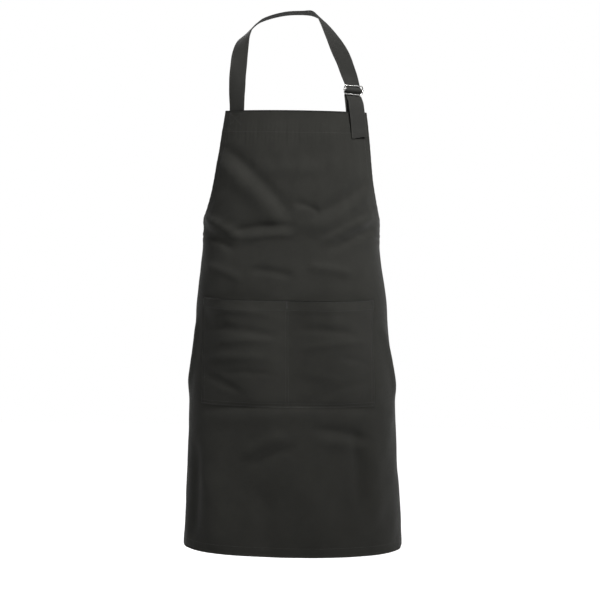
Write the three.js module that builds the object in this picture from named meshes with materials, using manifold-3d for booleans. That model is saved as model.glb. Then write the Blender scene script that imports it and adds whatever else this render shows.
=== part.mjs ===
// Bib apron of cotton twill, hanging from its neck strap as it does on a wearer: the cloth panel
// lies round the front of a body, the strap runs behind the neck and through a slide buckle, and
// the waist ties meet in a bow at the back. Millimetres, +Z up, the apron's face towards -Y.
import * as THREE from "three";
import { mergeVertices } from "three/addons/utils/BufferGeometryUtils.js";
import Module from "manifold-3d";

// --- Driving dimensions -------------------------------------------------------------------
const APRON_LENGTH = 860;      // bib top to hem
const SKIRT_WIDTH = 700;       // cloth laid flat, side to side
const BIB_WIDTH = 286;         // cloth laid flat, along the top edge
const WAIST_DROP = 250;        // bib top down to the corners that hold the ties
const ARMHOLE_PULL = [0.62, 0.93]; // how far down the armhole curve is steered, of the waist drop
const ARMHOLE_FLARE = [29, 22];    // and how far out of the bib's line it is steered there
const CLOTH = 0.8;
const SEAM_GAP = 0.3;          // air between two plies that are sewn together
const FACING_DEPTH = 42;
const HEM_DEPTH = 20;

const POCKET_WIDTH = 350;
const POCKET_HEIGHT = 207;
const POCKET_DROP = 361;       // bib top to the pocket's mouth
const POCKET_SHIFT = -9;       // the divider sits this far left of the panel's centre line
const POCKET_BULGE = 17;       // how far each mouth stands open
const POCKET_HEM = 21;

const STRAP_WIDTH = 32;
const STRAP_THICK = 1.2;
const STRAP_INSET = { left: 24, right: 27 };  // bib corner to strap middle, along the top edge
const STRAP_SEWN = 30;         // length sewn behind the bib
const BIB_TURN = 85;           // radius the bib bends to where a strap is sewn to it
const FOLD = { height: 90, left: -111.5, right: 94.5, y: 24, slack: 0.75 };  // where both bend
const TAIL_LENGTH = 86;        // free end below the buckle

const WIRE = 2.2;              // buckle wire
const BAR = 2.4;               // slider bar
const BALL = 5.2;              // its ends, which ride on the side wires
const BUCKLE_HEIGHT = 16.5;    // between the middles of the two long wires
const BUCKLE_RISE = 43;        // height of the slider bar above the bib
const BUCKLE_ROLL = -4;        // degrees, long wires dip to the right
const RUN_GAP = 0.3;           // between the wire and what slides on it

const TIE_WIDTH = 32;
const TIE_THICK = 1.2;
const KNOT = { width: 34, height: 38, depth: 17 };
const LOOP_LENGTH = 96;
const BOW_TAIL_LENGTH = 400;

// The wearer's body: half width, half depth, sideways shift and how far its front stands out.
const BODY = [
  { drop: 0, width: 168, depth: 110, shift: 0, front: 0 },
  { drop: 150, width: 169, depth: 108, shift: -3, front: 5 },
  { drop: 250, width: 172, depth: 108, shift: -6, front: 3 },
  { drop: 400, width: 186, depth: 116, shift: -3, front: 8 },
  { drop: 560, width: 200, depth: 122, shift: 0, front: 11 },
  { drop: 860, width: 211, depth: 130, shift: 4, front: 14 },
];
const ROUNDNESS = 2.4;         // 2 is an ellipse, more is squarer

// The strap above the fold, left to right behind the neck: middle of the band, and the
// direction across it towards the neck.
const NECK_ROUTE = [
  { at: [-108, 34, 120], across: [0.9, -0.3, 0.16] },
  { at: [-103, 50, 140], across: [0.75, -0.5, 0.34] },
  { at: [-94, 72, 154], across: [0.55, -0.6, 0.5] },
  { at: [-84, 98, 165], across: [0.5, -0.7, 0.5] },
  { at: [-66, 136, 180], across: [0.35, -0.88, 0.3] },
  { at: [-23, 160, 193], across: [0, -0.98, 0.2] },
  { at: [17, 142, 194], across: [-0.35, -0.9, 0.24] },
  { at: [36, 106, 189], across: [-0.55, -0.66, 0.5] },
  { at: [46, 76, 181], across: [-0.62, -0.56, 0.5] },
  { at: [58, 54, 163], across: [-0.78, -0.48, 0.36] },
  { at: [72, 38, 138], across: [-0.9, -0.3, 0.1] },
  { at: [86, 28, 110], across: [-0.96, -0.1, -0.15] },
];
const NAPE = 5;                // the station behind the neck

// --- Small helpers ------------------------------------------------------------------------
const vector = (x, y, z) => new THREE.Vector3(x, y, z);
const radians = THREE.MathUtils.degToRad;
const mix = THREE.MathUtils.lerp;

// `count` even steps from one number to another, both ends included.
function steps(from, to, count) {
  return Array.from({ length: count + 1 }, (_, i) => mix(from, to, i / count));
}

function body(drop) {
  const last = BODY.length - 1;
  let k = 0;
  while (k < last - 1 && BODY[k + 1].drop < drop) k += 1;
  const [a, b] = [BODY[k], BODY[k + 1]];
  const raw = THREE.MathUtils.clamp((drop - a.drop) / (b.drop - a.drop), 0, 1);
  const t = raw * raw * (3 - 2 * raw);
  const value = (key) => mix(a[key], b[key], t);
  return { width: value("width"), depth: value("depth"), shift: value("shift"), front: value("front") };
}

// A point at angle `t` round the body, 0 in front and +-PI behind.
function onSection(form, t) {
  const power = 2 / ROUNDNESS;
  const curve = (c) => Math.sign(c) * Math.abs(c) ** power;
  return [form.shift + form.width * curve(Math.sin(t)),
    form.depth - form.front - form.depth * curve(Math.cos(t))];
}

const SECTION_STEPS = 360;
const sections = new Map();
function section(drop) {
  const key = Math.round(drop * 100);
  if (!sections.has(key)) {
    const form = body(drop);
    const points = steps(0, Math.PI, SECTION_STEPS).map((t) => onSection(form, t));
    const arcs = [0];
    for (let i = 1; i < points.length; i += 1) {
      const [p, q] = [points[i - 1], points[i]];
      arcs.push(arcs[i - 1] + Math.hypot(q[0] - p[0], q[1] - p[1]));
    }
    sections.set(key, { form, points, arcs });
  }
  return sections.get(key);
}

// A point on the cloth: `along` mm round the body from the middle of the front (right is +),
// `drop` mm below the bib's top edge and `lift` mm outside the body.
function onBody(along, drop, lift = 0) {
  const { form, points, arcs } = section(drop);
  const target = Math.abs(along);
  let i = 1;
  while (i < arcs.length - 1 && arcs[i] < target) i += 1;
  const t = (target - arcs[i - 1]) / (arcs[i] - arcs[i - 1]);
  const [p, q] = [points[i - 1], points[i]];
  const side = along < 0 ? -1 : 1;
  const x = mix(p[0], q[0], t) - form.shift;
  const y = mix(p[1], q[1], t);
  const run = vector(q[0] - p[0], q[1] - p[1], 0).normalize();
  return vector(form.shift + side * (x + lift * run.y), y - lift * run.x, -drop);
}

// The direction along the cloth, level, at one place.
function alongBody(along, drop) {
  return onBody(along + 1, drop).sub(onBody(along - 1, drop)).normalize();
}

// A closed solid from a grid of points: `front(i, j)` and `back(i, j)` are its two skins.
function slab(columns, rows, front, back) {
  const positions = [];
  for (const skin of [front, back]) {
    for (let j = 0; j <= rows; j += 1) {
      for (let i = 0; i <= columns; i += 1) positions.push(...skin(i, j).toArray());
    }
  }
  const layer = (columns + 1) * (rows + 1);
  const at = (i, j, skin) => skin * layer + j * (columns + 1) + i;
  const index = [];
  const quad = (a, b, c, d) => index.push(a, b, c, a, c, d);
  for (let j = 0; j < rows; j += 1) {
    for (let i = 0; i < columns; i += 1) {
      quad(at(i, j, 0), at(i + 1, j, 0), at(i + 1, j + 1, 0), at(i, j + 1, 0));
      quad(at(i, j, 1), at(i, j + 1, 1), at(i + 1, j + 1, 1), at(i + 1, j, 1));
    }
  }
  for (let i = 0; i < columns; i += 1) {
    quad(at(i, 0, 1), at(i + 1, 0, 1), at(i + 1, 0, 0), at(i, 0, 0));
    quad(at(i, rows, 0), at(i + 1, rows, 0), at(i + 1, rows, 1), at(i, rows, 1));
  }
  for (let j = 0; j < rows; j += 1) {
    quad(at(0, j, 0), at(0, j + 1, 0), at(0, j + 1, 1), at(0, j, 1));
    quad(at(columns, j, 1), at(columns, j + 1, 1), at(columns, j + 1, 0), at(columns, j, 0));
  }
  return faceOut(positions, index);
}

function faceOut(positions, index) {
  let volume = 0;
  const point = (i) => vector(...positions.slice(3 * i, 3 * i + 3));
  for (let k = 0; k < index.length; k += 3) {
    volume += point(index[k]).dot(point(index[k + 1]).cross(point(index[k + 2])));
  }
  const order = volume < 0 ? index.slice().reverse() : index;
  const geometry = new THREE.BufferGeometry();
  geometry.setAttribute("position", new THREE.Float32BufferAttribute(positions, 3));
  geometry.setIndex(order);
  geometry.computeVertexNormals();
  return geometry;
}

// A flat band along a path: each station has its middle `at` and the direction `across` it.
// Where it is `bent` round a wire, the fold stays in line with the wire, whatever the path's slant.
function band(stations, width, thick) {
  const frames = stations.map((station, k) => {
    const before = stations[Math.max(k - 1, 0)].at;
    const after = stations[Math.min(k + 1, stations.length - 1)].at;
    const run = after.clone().sub(before).normalize();
    const across = station.across.clone();
    if (!station.bent) across.addScaledVector(run, -across.dot(run)).normalize();
    return { at: station.at, across, normal: run.clone().cross(across).normalize() };
  });
  const skin = (side) => (i, j) => {
    const { at, across, normal } = frames[j];
    return at.clone().addScaledVector(across, (i - 0.5) * width).addScaledVector(normal, side * thick / 2);
  };
  return slab(1, frames.length - 1, skin(1), skin(-1));
}

// The stations of a smooth path through hand-set ones.
function smooth(stations, count) {
  const path = new THREE.CatmullRomCurve3(stations.map((s) => s.at), false, "centripetal");
  const turn = new THREE.CatmullRomCurve3(stations.map((s) => s.across), false, "centripetal");
  return steps(0, 1, count).map((t) => ({ at: path.getPoint(t), across: turn.getPoint(t),
    bent: t === 0 && stations[0].bent }));
}

// --- Cloth panel --------------------------------------------------------------------------
const CLOTH_COLOUR = 0x33332f;
const cloth = { color: CLOTH_COLOUR, roughness: 0.9, metalness: 0 };
const metal = { color: 0xb9bab8, roughness: 0.25, metalness: 1 };
const halfSkirt = SKIRT_WIDTH / 2;
const halfBib = BIB_WIDTH / 2;
const armhole = new THREE.CubicBezierCurve(
  new THREE.Vector2(halfBib, 0),
  new THREE.Vector2(halfBib + ARMHOLE_FLARE[0], ARMHOLE_PULL[0] * WAIST_DROP),
  new THREE.Vector2(halfBib + ARMHOLE_FLARE[1], ARMHOLE_PULL[1] * WAIST_DROP),
  new THREE.Vector2(halfSkirt, WAIST_DROP),
);

// Half the panel's width at a drop: the armhole curve above the waist, straight below it.
function halfWidth(drop) {
  if (drop >= WAIST_DROP) return halfSkirt;
  let [low, high] = [0, 1];
  for (let pass = 0; pass < 40; pass += 1) {
    const middle = (low + high) / 2;
    if (armhole.getPoint(middle).y < drop) low = middle;
    else high = middle;
  }
  return armhole.getPoint(low).x;
}

const pocketLeft = POCKET_SHIFT - POCKET_WIDTH / 2;
const pocketRight = POCKET_SHIFT + POCKET_WIDTH / 2;
const hemEdge = halfSkirt - HEM_DEPTH;
const unique = (list) => list.filter((value, i) => i === 0 || Math.abs(value - list[i - 1]) > 1e-6);
const columns = unique([-halfSkirt, ...steps(-hemEdge, pocketLeft, 5),
  ...steps(pocketLeft, POCKET_SHIFT, 6), ...steps(POCKET_SHIFT, pocketRight, 6),
  ...steps(pocketRight, hemEdge, 5), halfSkirt]);
const pocketFoot = POCKET_DROP + POCKET_HEIGHT;
const rows = unique([...steps(0, FACING_DEPTH, 2),
  ...steps(FACING_DEPTH, 0.72 * WAIST_DROP, 4), ...steps(0.72 * WAIST_DROP, WAIST_DROP, 6),
  ...steps(WAIST_DROP, POCKET_DROP, 3), POCKET_DROP + POCKET_HEM,
  ...steps(POCKET_DROP + POCKET_HEM, pocketFoot, 4),
  ...steps(pocketFoot, APRON_LENGTH - HEM_DEPTH, 6), APRON_LENGTH]);
const columnAt = (value) => columns.findIndex((c) => Math.abs(c - value) < 1e-6);
const rowAt = (value) => rows.findIndex((r) => Math.abs(r - value) < 1e-6);

// A ply over part of the panel's own grid. The lifts are numbers, or functions of along and drop.
function ply([left, right], [top, foot], outer, inner) {
  const skin = (lift) => (i, j) => {
    const drop = rows[top + j];
    const along = columns[left + i];
    const out = typeof lift === "function" ? lift(along, drop) : lift;
    return onBody(along * halfWidth(drop) / halfSkirt, drop, out);
  };
  return slab(right - left, foot - top, skin(outer), skin(inner));
}

const lastColumn = columns.length - 1;
const waistRow = rowAt(WAIST_DROP);
const behind = [-SEAM_GAP, -SEAM_GAP - CLOTH];

function panelParts() {
  const everyRow = [0, rows.length - 1];
  const hemTop = rowAt(APRON_LENGTH - HEM_DEPTH);
  return {
    front_panel: ply([0, lastColumn], everyRow, CLOTH, 0),
    top_facing: ply([1, lastColumn - 1], [0, rowAt(FACING_DEPTH)], ...behind),
    armhole_hem_left: ply([0, 1], [rowAt(FACING_DEPTH), waistRow - 1], ...behind),
    armhole_hem_right: ply([lastColumn - 1, lastColumn], [rowAt(FACING_DEPTH), waistRow - 1], ...behind),
    side_hem_left: ply([0, 1], [waistRow, hemTop], ...behind),
    side_hem_right: ply([lastColumn - 1, lastColumn], [waistRow, hemTop], ...behind),
    bottom_hem: ply([1, lastColumn - 1], [hemTop, rows.length - 1], ...behind),
  };
}

// --- Pocket: one patch, stitched down its middle into two --------------------------------
const pocketBase = CLOTH + SEAM_GAP;
function pocketLift(along, drop) {
  const share = (along - pocketLeft) / (POCKET_WIDTH / 2);
  const across = Math.sin(Math.PI * (share - Math.floor(share)));
  const down = (drop - POCKET_DROP) / POCKET_HEIGHT;
  const hemPly = drop <= POCKET_DROP + POCKET_HEM + 1 ? CLOTH + SEAM_GAP : 0;
  return pocketBase + hemPly + POCKET_BULGE * Math.abs(across) ** 1.5 * (1 - down * down);
}

const TACK = { width: 2.4, length: 13, thick: 0.7, gap: 0.5 };
function tack(along) {
  const top = POCKET_DROP + 3;
  const base = pocketLift(along, POCKET_DROP) + CLOTH + TACK.gap;
  const skin = (lift) => (i, j) => onBody(along + (i - 0.5) * TACK.width, top + j * TACK.length, lift);
  return slab(1, 1, skin(base + TACK.thick), skin(base));
}

function pocketParts() {
  const span = [columnAt(pocketLeft), columnAt(pocketRight)];
  const mouth = rowAt(POCKET_DROP);
  const hemRow = rowAt(POCKET_DROP + POCKET_HEM);
  const raised = (extra) => (along, drop) => pocketLift(along, drop) + extra;
  return {
    pocket: ply(span, [mouth, rowAt(pocketFoot)], raised(CLOTH), raised(0)),
    pocket_mouth_hem: ply(span, [mouth, hemRow], raised(-SEAM_GAP), raised(-SEAM_GAP - CLOTH)),
    pocket_bartack_left: tack(pocketLeft),
    pocket_bartack_centre: tack(POCKET_SHIFT),
    pocket_bartack_right: tack(pocketRight),
  };
}

// --- Slide buckle, in its own axes: x along the wires, y inwards, z up --------------------
const wireSpan = STRAP_WIDTH + 4 + WIRE;   // between the middles of the side wires
const CORNER = 3;
const RELIEF = 1.2;                        // strap to the long wires, so that the frame can tilt
const SKEW = 0.22;                         // the strap runs through at this slope
const strapBehind = WIRE / 2 + RELIEF + STRAP_THICK / 2;
const tabRound = BAR / 2 + SEAM_GAP + STRAP_THICK / 2;
const strapRound = tabRound + STRAP_THICK + SEAM_GAP;
const tabFront = strapBehind + STRAP_THICK + SEAM_GAP;
const tabBack = tabFront + STRAP_THICK + SEAM_GAP;
const BUCKLE_LIFT = 1;
const tailStart = BUCKLE_HEIGHT / 2 + WIRE / 2 + 1.2;  // below the bar, where the free end begins
const BUCKLE_INSET = 31;

const buckleAlong = halfBib - BUCKLE_INSET;
const level = alongBody(buckleAlong, 0);
const inwards = vector(-level.y, level.x, 0);
const wireAxis = level.clone().multiplyScalar(Math.cos(radians(BUCKLE_ROLL)))
  .add(vector(0, 0, Math.sin(radians(BUCKLE_ROLL))));
const sideAxis = wireAxis.clone().cross(inwards);
const buckleMiddle = onBody(buckleAlong, 0, BUCKLE_LIFT).add(vector(0, 0, BUCKLE_RISE));
const buckleMatrix = new THREE.Matrix4().makeBasis(wireAxis, inwards, sideAxis)
  .setPosition(buckleMiddle);
const inBuckle = (x, y, z) => vector(x, y, z).applyMatrix4(buckleMatrix);

// A closed ring of round wire along a closed path in the x-z plane.
function wireRing(path, radius, sides) {
  const positions = [];
  const index = [];
  path.forEach((point, k) => {
    const before = path[(k + path.length - 1) % path.length];
    const after = path[(k + 1) % path.length];
    const run = after.clone().sub(before).normalize();
    const out = vector(run.z, 0, -run.x);
    for (let i = 0; i < sides; i += 1) {
      const t = 2 * Math.PI * i / sides;
      const spot = point.clone().addScaledVector(out, radius * Math.cos(t));
      positions.push(spot.x, radius * Math.sin(t), spot.z);
      const [a, b] = [k * sides + i, k * sides + (i + 1) % sides];
      const shift = sides * ((k + 1) % path.length);
      index.push(a, b, shift + b - k * sides, a, shift + b - k * sides, shift + a - k * sides);
    }
  });
  return faceOut(positions, index);
}

function framePath() {
  const [x, z] = [wireSpan / 2 - CORNER, BUCKLE_HEIGHT / 2 - CORNER];
  const corners = [[x, z, 0], [-x, z, 90], [-x, -z, 180], [x, -z, 270]];
  return corners.flatMap(([cx, cz, from]) => steps(from, from + 90, 4).map((angle) => vector(
    cx + CORNER * Math.cos(radians(angle)), 0, cz + CORNER * Math.sin(radians(angle)))));
}

const wasm = await Module();
wasm.setup();
function toManifold(geometry) {
  const bare = geometry.clone();
  bare.deleteAttribute("normal");
  bare.deleteAttribute("uv");
  const merged = mergeVertices(bare, 1e-5);
  const solid = new wasm.Mesh({ numProp: 3, vertProperties: merged.attributes.position.array,
    triVerts: new Uint32Array(merged.index.array) });
  return new wasm.Manifold(solid);
}

function fromManifold(manifold) {
  const mesh = manifold.getMesh();
  return faceOut([...mesh.vertProperties], [...mesh.triVerts]);
}

// The movable bar: a rod whose two balls are drilled for the side wires.
function sliderBar() {
  const SIDES = 14;
  const reach = wireSpan / 2 + 0.8;
  const rod = new THREE.CylinderGeometry(BAR / 2, BAR / 2, 2 * reach, SIDES).rotateZ(Math.PI / 2);
  let bar = toManifold(rod);
  for (const side of [-1, 1]) {
    const ball = new THREE.SphereGeometry(BALL / 2, SIDES, 10).translate(side * reach, 0, 0);
    const hole = new THREE.CylinderGeometry(WIRE / 2 + RUN_GAP, WIRE / 2 + RUN_GAP, 2 * BALL, SIDES)
      .rotateX(Math.PI / 2).translate(side * wireSpan / 2, 0, 0);
    bar = bar.add(toManifold(ball)).subtract(toManifold(hole));
  }
  return fromManifold(bar);
}

// Where a line that leaves the point (y, z) touches a circle round the bar, on its face side.
function tangentAngle(y, z, radius) {
  return Math.atan2(y, z) - Math.acos(radius / Math.hypot(y, z));
}

const roundBar = (radius, angle) => [radius * Math.sin(angle), radius * Math.cos(angle)];

// The side view of the strap's bend round the bar: where it turns behind a long wire, the angle
// at which it meets the bar, and the slope between the two.
const strapTurn = [strapBehind, 0.4 * BUCKLE_HEIGHT];
const touch = tangentAngle(...strapTurn, strapRound);
const leave = -Math.PI - touch;

function strapThroughBuckle() {
  const arc = steps(touch, leave, 6).map((angle) => roundBar(strapRound, angle));
  const end = BUCKLE_HEIGHT / 2 + WIRE / 2;
  const side = [[strapBehind, end], strapTurn, ...arc, [strapTurn[0], -strapTurn[1]],
    [strapBehind, -end]];
  return side.map(([y, z]) => ({ at: inBuckle(-SKEW * z, y, z), across: wireAxis, bent: true }));
}

// The anchor tab wraps the bar, then both its plies run down behind the strap.
function tabRoundBar() {
  const arc = steps(Math.PI / 2, leave, 9).map((angle) => roundBar(tabRound, angle));
  const [y, z] = arc[arc.length - 1];
  const [strapY, strapZ] = roundBar(strapRound, leave);
  const slope = (-strapTurn[1] - strapZ) / (strapTurn[0] - strapY);
  const join = [tabFront, z + slope * (tabFront - y)];
  const low = -BUCKLE_HEIGHT / 2 - WIRE;
  const side = [[tabBack, low], [tabBack, join[1] + STRAP_THICK / 2], ...arc, join, [tabFront, low]];
  return side.map(([sideY, sideZ]) => ({ at: inBuckle(0, sideY, sideZ), across: wireAxis, bent: true }));
}

// --- Neck strap ---------------------------------------------------------------------------
const rootRise = STRAP_WIDTH ** 2 / (8 * BIB_TURN);  // how far its edges stand in behind the bib
const strapDepth = 2 * (CLOTH + SEAM_GAP) + rootRise;  // its middle, inside the body at the bib
const station = (at, across) => ({ at, across });
const foldAt = (side, height) => vector(FOLD[side], FOLD.y, height);
const fromRoute = ({ at, across }) => station(vector(...at), vector(...across));

function strapParts() {
  const leftAlong = -halfBib + STRAP_INSET.left;
  const rightAlong = halfBib - STRAP_INSET.right;
  const leftAcross = alongBody(leftAlong, 0);
  const rightAcross = alongBody(rightAlong, 0);
  const right = vector(1, 0, 0);
  const left = vector(-1, 0, 0);
  const sewn = (along, depth, across) => [STRAP_SEWN, 0].map((drop) => station(
    onBody(along, 0, -depth).setZ(-drop), across));
  const over = FOLD.height + FOLD.slack;
  const under = FOLD.height - FOLD.slack;
  const neck = smooth([station(foldAt("left", over), right), ...NECK_ROUTE.map(fromRoute),
    station(foldAt("right", over), left)], 48);
  const through = strapThroughBuckle();
  const rise = smooth([station(foldAt("right", under), right),
    station(through[0].at.clone().lerp(foldAt("right", under), 0.45), right.clone().lerp(level, 0.5)),
    through[0]], 5);
  const plyGap = STRAP_THICK + SEAM_GAP;
  const tab = tabRoundBar();
  const tailTop = inBuckle(SKEW * tailStart, strapBehind, -tailStart);
  const tailAlong = halfBib - STRAP_INSET.right + 9;
  const tailLift = CLOTH + STRAP_THICK / 2 + 2.4;
  const tail = [{ at: tailTop, across: wireAxis, bent: true },
    station(onBody(buckleAlong + 4, 0, 0.5).setZ(tailTop.z - 10), wireAxis),
    station(onBody(buckleAlong + 5, 0, tailLift + 1.5).setZ(tailTop.z - 24), wireAxis),
    station(onBody(rightAlong + 4, 0, tailLift + 1.5).setZ(4), wireAxis),
    station(onBody(tailAlong, 0, tailLift).setZ(tailTop.z - TAIL_LENGTH + 2), wireAxis)];
  return {
    neck_strap: band(neck, STRAP_WIDTH, STRAP_THICK),
    neck_strap_left_end: band(smooth([...sewn(leftAlong, strapDepth, leftAcross),
      station(foldAt("left", under), right)], 10), STRAP_WIDTH, STRAP_THICK),
    neck_strap_right_end: band([...rise.slice(0, -1), ...through], STRAP_WIDTH, STRAP_THICK),
    anchor_tab: band([...sewn(rightAlong, strapDepth + plyGap, rightAcross), ...tab,
      ...sewn(rightAlong, strapDepth, rightAcross).reverse()], STRAP_WIDTH, STRAP_THICK),
    strap_tail: band(smooth(tail, 12), STRAP_WIDTH, STRAP_THICK),
    buckle_frame: wireRing(framePath(), WIRE / 2, 8).applyMatrix4(buckleMatrix),
    slider_bar: sliderBar().applyMatrix4(buckleMatrix),
  };
}

// --- Ties and bow -------------------------------------------------------------------------
const tieDrop = WAIST_DROP + TIE_WIDTH / 2 + 3;
const tieInside = CLOTH + 2 * SEAM_GAP + TIE_THICK / 2 + 0.7;
const TIE_SEWN = 28;
const halfGirth = section(tieDrop).arcs.at(-1);
const knotMiddle = onBody(halfGirth, tieDrop, -tieInside);
const up = vector(0, 0, 1);

function waistTie(side) {
  const end = halfGirth - KNOT.width / 2 - SEAM_GAP;
  const stations = steps(halfSkirt - TIE_SEWN, end, 12)
    .map((along) => station(onBody(side * along, tieDrop, -tieInside), up));
  return band(stations, TIE_WIDTH, TIE_THICK);
}

// A rounded lump: a sphere pulled to the knot's width, depth and height.
function knot() {
  const lump = new THREE.SphereGeometry(1, 14, 9);
  const place = lump.attributes.position;
  const square = (c) => Math.sign(c) * Math.abs(c) ** 0.55;
  for (let i = 0; i < place.count; i += 1) {
    const [x, y, z] = [place.getX(i), place.getY(i), place.getZ(i)].map(square);
    place.setXYZ(i, x * KNOT.width / 2, y * KNOT.depth / 2, z * KNOT.height / 2);
  }
  const bare = lump.clone();
  bare.deleteAttribute("normal");
  bare.deleteAttribute("uv");
  return mergeVertices(bare, 1e-4).translate(...knotMiddle.toArray());
}

function bowLoop(side) {
  const start = KNOT.width / 2 + 1;
  const route = [[0, 2.5, 0], [0.35, 3, -5], [0.75, 4, -22], [0.96, 7, -34], [1, 12, -37],
    [0.94, 17, -34], [0.7, 19, -20], [0.35, 13, -6], [0, 6.5, 0]];
  const lean = vector(side * 0.25, 0, 1).normalize();
  const stations = route.map(([share, y, z]) => station(
    knotMiddle.clone().add(vector(side * (start + share * LOOP_LENGTH), y, z)), lean));
  return band(smooth(stations, 22), TIE_WIDTH, TIE_THICK);
}

function bowTail(side) {
  const top = knotMiddle.clone().add(vector(side * (TIE_WIDTH / 2 + 1), 3 + side, 0));
  const start = -KNOT.height / 2 - 0.1;
  const stations = [0, 0.3, 0.65, 1].map((share) => station(top.clone().add(
    vector(side * 26 * share, 4 * share, start - share * BOW_TAIL_LENGTH)), vector(1, 0, 0)));
  return band(smooth(stations, 12), TIE_WIDTH, TIE_THICK);
}

// --- Care label: a blank loop of tape sewn into the side hem ------------------------------
const LABEL = { drop: 420, width: 26, height: 44, thick: 0.6 };
function careLabel() {
  const from = -hemEdge - 8;
  const depth = 2 * (CLOTH + SEAM_GAP) + 0.6;
  const skin = (lift) => (i, j) => onBody(from + i * LABEL.width / 3, LABEL.drop + j * LABEL.height, lift);
  return slab(3, 1, skin(-depth), skin(-depth - LABEL.thick));
}

// --- Assembly: the origin is under the strap, behind the neck -----------------------------
const nape = vector(...NECK_ROUTE[NAPE].at).add(vector(0, 0, -STRAP_THICK / 2));
const apron = new THREE.Group();
apron.position.copy(nape).negate();

function add(name, geometry, finish) {
  const mesh = new THREE.Mesh(geometry, new THREE.MeshStandardMaterial(finish));
  mesh.name = name;
  apron.add(mesh);
}

const metalParts = ["buckle_frame", "slider_bar"];
const ties = {};
for (const [word, side] of [["left", -1], ["right", 1]]) {
  ties[`waist_tie_${word}`] = waistTie(side);
  ties[`bow_loop_${word}`] = bowLoop(side);
  ties[`bow_tail_${word}`] = bowTail(side);
}
const parts = { ...panelParts(), ...pocketParts(), ...strapParts(), ...ties, bow_knot: knot(),
  care_label: careLabel() };
for (const [name, geometry] of Object.entries(parts)) {
  add(name, geometry, metalParts.includes(name) ? metal : cloth);
}

export default apron;
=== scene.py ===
# %% [markdown]
# # A bib apron of cotton twill
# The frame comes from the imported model: its nodes are plain solids at the right size and place.
# Every cell below makes one piece or one finish round them. Lengths are typed in millimetres,
# the unit an apron maker works in, and `MM` turns them into Blender's metres.

# %% Load the frame
import math

import bmesh
import bpy
import numpy as np
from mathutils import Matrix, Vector


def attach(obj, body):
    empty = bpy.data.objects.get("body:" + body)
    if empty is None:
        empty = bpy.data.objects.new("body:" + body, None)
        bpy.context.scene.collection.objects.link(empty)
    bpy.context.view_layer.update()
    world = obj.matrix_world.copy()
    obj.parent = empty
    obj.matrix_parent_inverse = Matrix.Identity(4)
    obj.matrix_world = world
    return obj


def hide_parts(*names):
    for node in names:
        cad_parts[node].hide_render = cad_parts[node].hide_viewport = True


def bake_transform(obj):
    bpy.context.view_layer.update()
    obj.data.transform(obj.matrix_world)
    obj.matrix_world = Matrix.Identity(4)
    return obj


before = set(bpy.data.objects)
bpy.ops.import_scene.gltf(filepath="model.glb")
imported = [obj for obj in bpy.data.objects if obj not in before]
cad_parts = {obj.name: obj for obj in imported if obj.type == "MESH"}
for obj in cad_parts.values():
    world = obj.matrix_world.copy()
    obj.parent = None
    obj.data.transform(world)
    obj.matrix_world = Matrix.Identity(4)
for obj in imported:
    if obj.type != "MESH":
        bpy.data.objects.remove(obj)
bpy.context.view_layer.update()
MM = 0.001

# %% [markdown]
# ## Measures
# The apron is worn, so its shape is the wearer's: a rounded, slightly square body. Cloth places
# are given as on the cutting table, by how far they are `along` from the centre line and how far
# they `drop` below the bib's top edge. One function turns those two numbers into a point in space.

# %% Measures of the apron, in millimetres
LENGTH, SKIRT, BIB, WAIST = 860, 700, 286, 250
ARMHOLE_PULL, ARMHOLE_FLARE = (0.62, 0.93), (29, 22)
CLOTH, SEAM = 0.8, 0.3
FACING, HEM = 42, 20
POCKET = dict(width=350, height=207, drop=361, shift=-9, bulge=17, hem=21)
STRAP, STRAP_THICK, STRAP_SEWN = 32, 1.2, 30
BIB_TURN = 85             # sets how deep a strap lies; the bib itself bends less, so there is room
INSET = dict(left=24, right=27)
FOLD = dict(height=90, left=-111.5, right=94.5, y=24)
WIRE, BAR, BUCKLE_HEIGHT, BUCKLE_RISE, BUCKLE_ROLL = 2.2, 2.4, 16.5, 43, -4
BUCKLE_INSET, BUCKLE_LIFT, BUCKLE_SKEW, WIRE_RELIEF = 31, 1, 0.22, 1.2
BODY = np.array([  # drop, half width, half depth, shift to the right, how far the front stands out
    (0, 168, 110, 0, 0), (150, 169, 108, -3, 5), (250, 172, 108, -6, 3),
    (400, 186, 116, -3, 8), (560, 200, 122, 0, 11), (860, 211, 130, 4, 14)], float)
ROUNDNESS = 2.4
NECK_ROUTE = [  # middle of the strap behind the neck, and the direction across it
    ((-108, 34, 120), (0.9, -0.3, 0.16)), ((-103, 50, 140), (0.75, -0.5, 0.34)),
    ((-94, 72, 154), (0.55, -0.6, 0.5)), ((-84, 98, 165), (0.5, -0.7, 0.5)),
    ((-66, 136, 180), (0.35, -0.88, 0.3)), ((-23, 160, 193), (0, -0.98, 0.2)),
    ((17, 142, 194), (-0.35, -0.9, 0.24)), ((36, 106, 189), (-0.55, -0.66, 0.5)),
    ((46, 76, 181), (-0.62, -0.56, 0.5)), ((58, 54, 163), (-0.78, -0.48, 0.36)),
    ((72, 38, 138), (-0.9, -0.3, 0.1)), ((86, 28, 110), (-0.96, -0.1, -0.15))]
NAPE = np.array((-23, 160, 193 - STRAP_THICK / 2))  # the frame's origin, seen from the bib

# %% The wearer's body and a point on the cloth
def body(drop):
    k = int(np.clip(np.searchsorted(BODY[:, 0], drop) - 1, 0, len(BODY) - 2))
    t = np.clip((drop - BODY[k, 0]) / (BODY[k + 1, 0] - BODY[k, 0]), 0, 1)
    t = t * t * (3 - 2 * t)
    return BODY[k, 1:] * (1 - t) + BODY[k + 1, 1:] * t


ANGLES = np.linspace(0, math.pi, 361)
section_cache = {}


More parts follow.
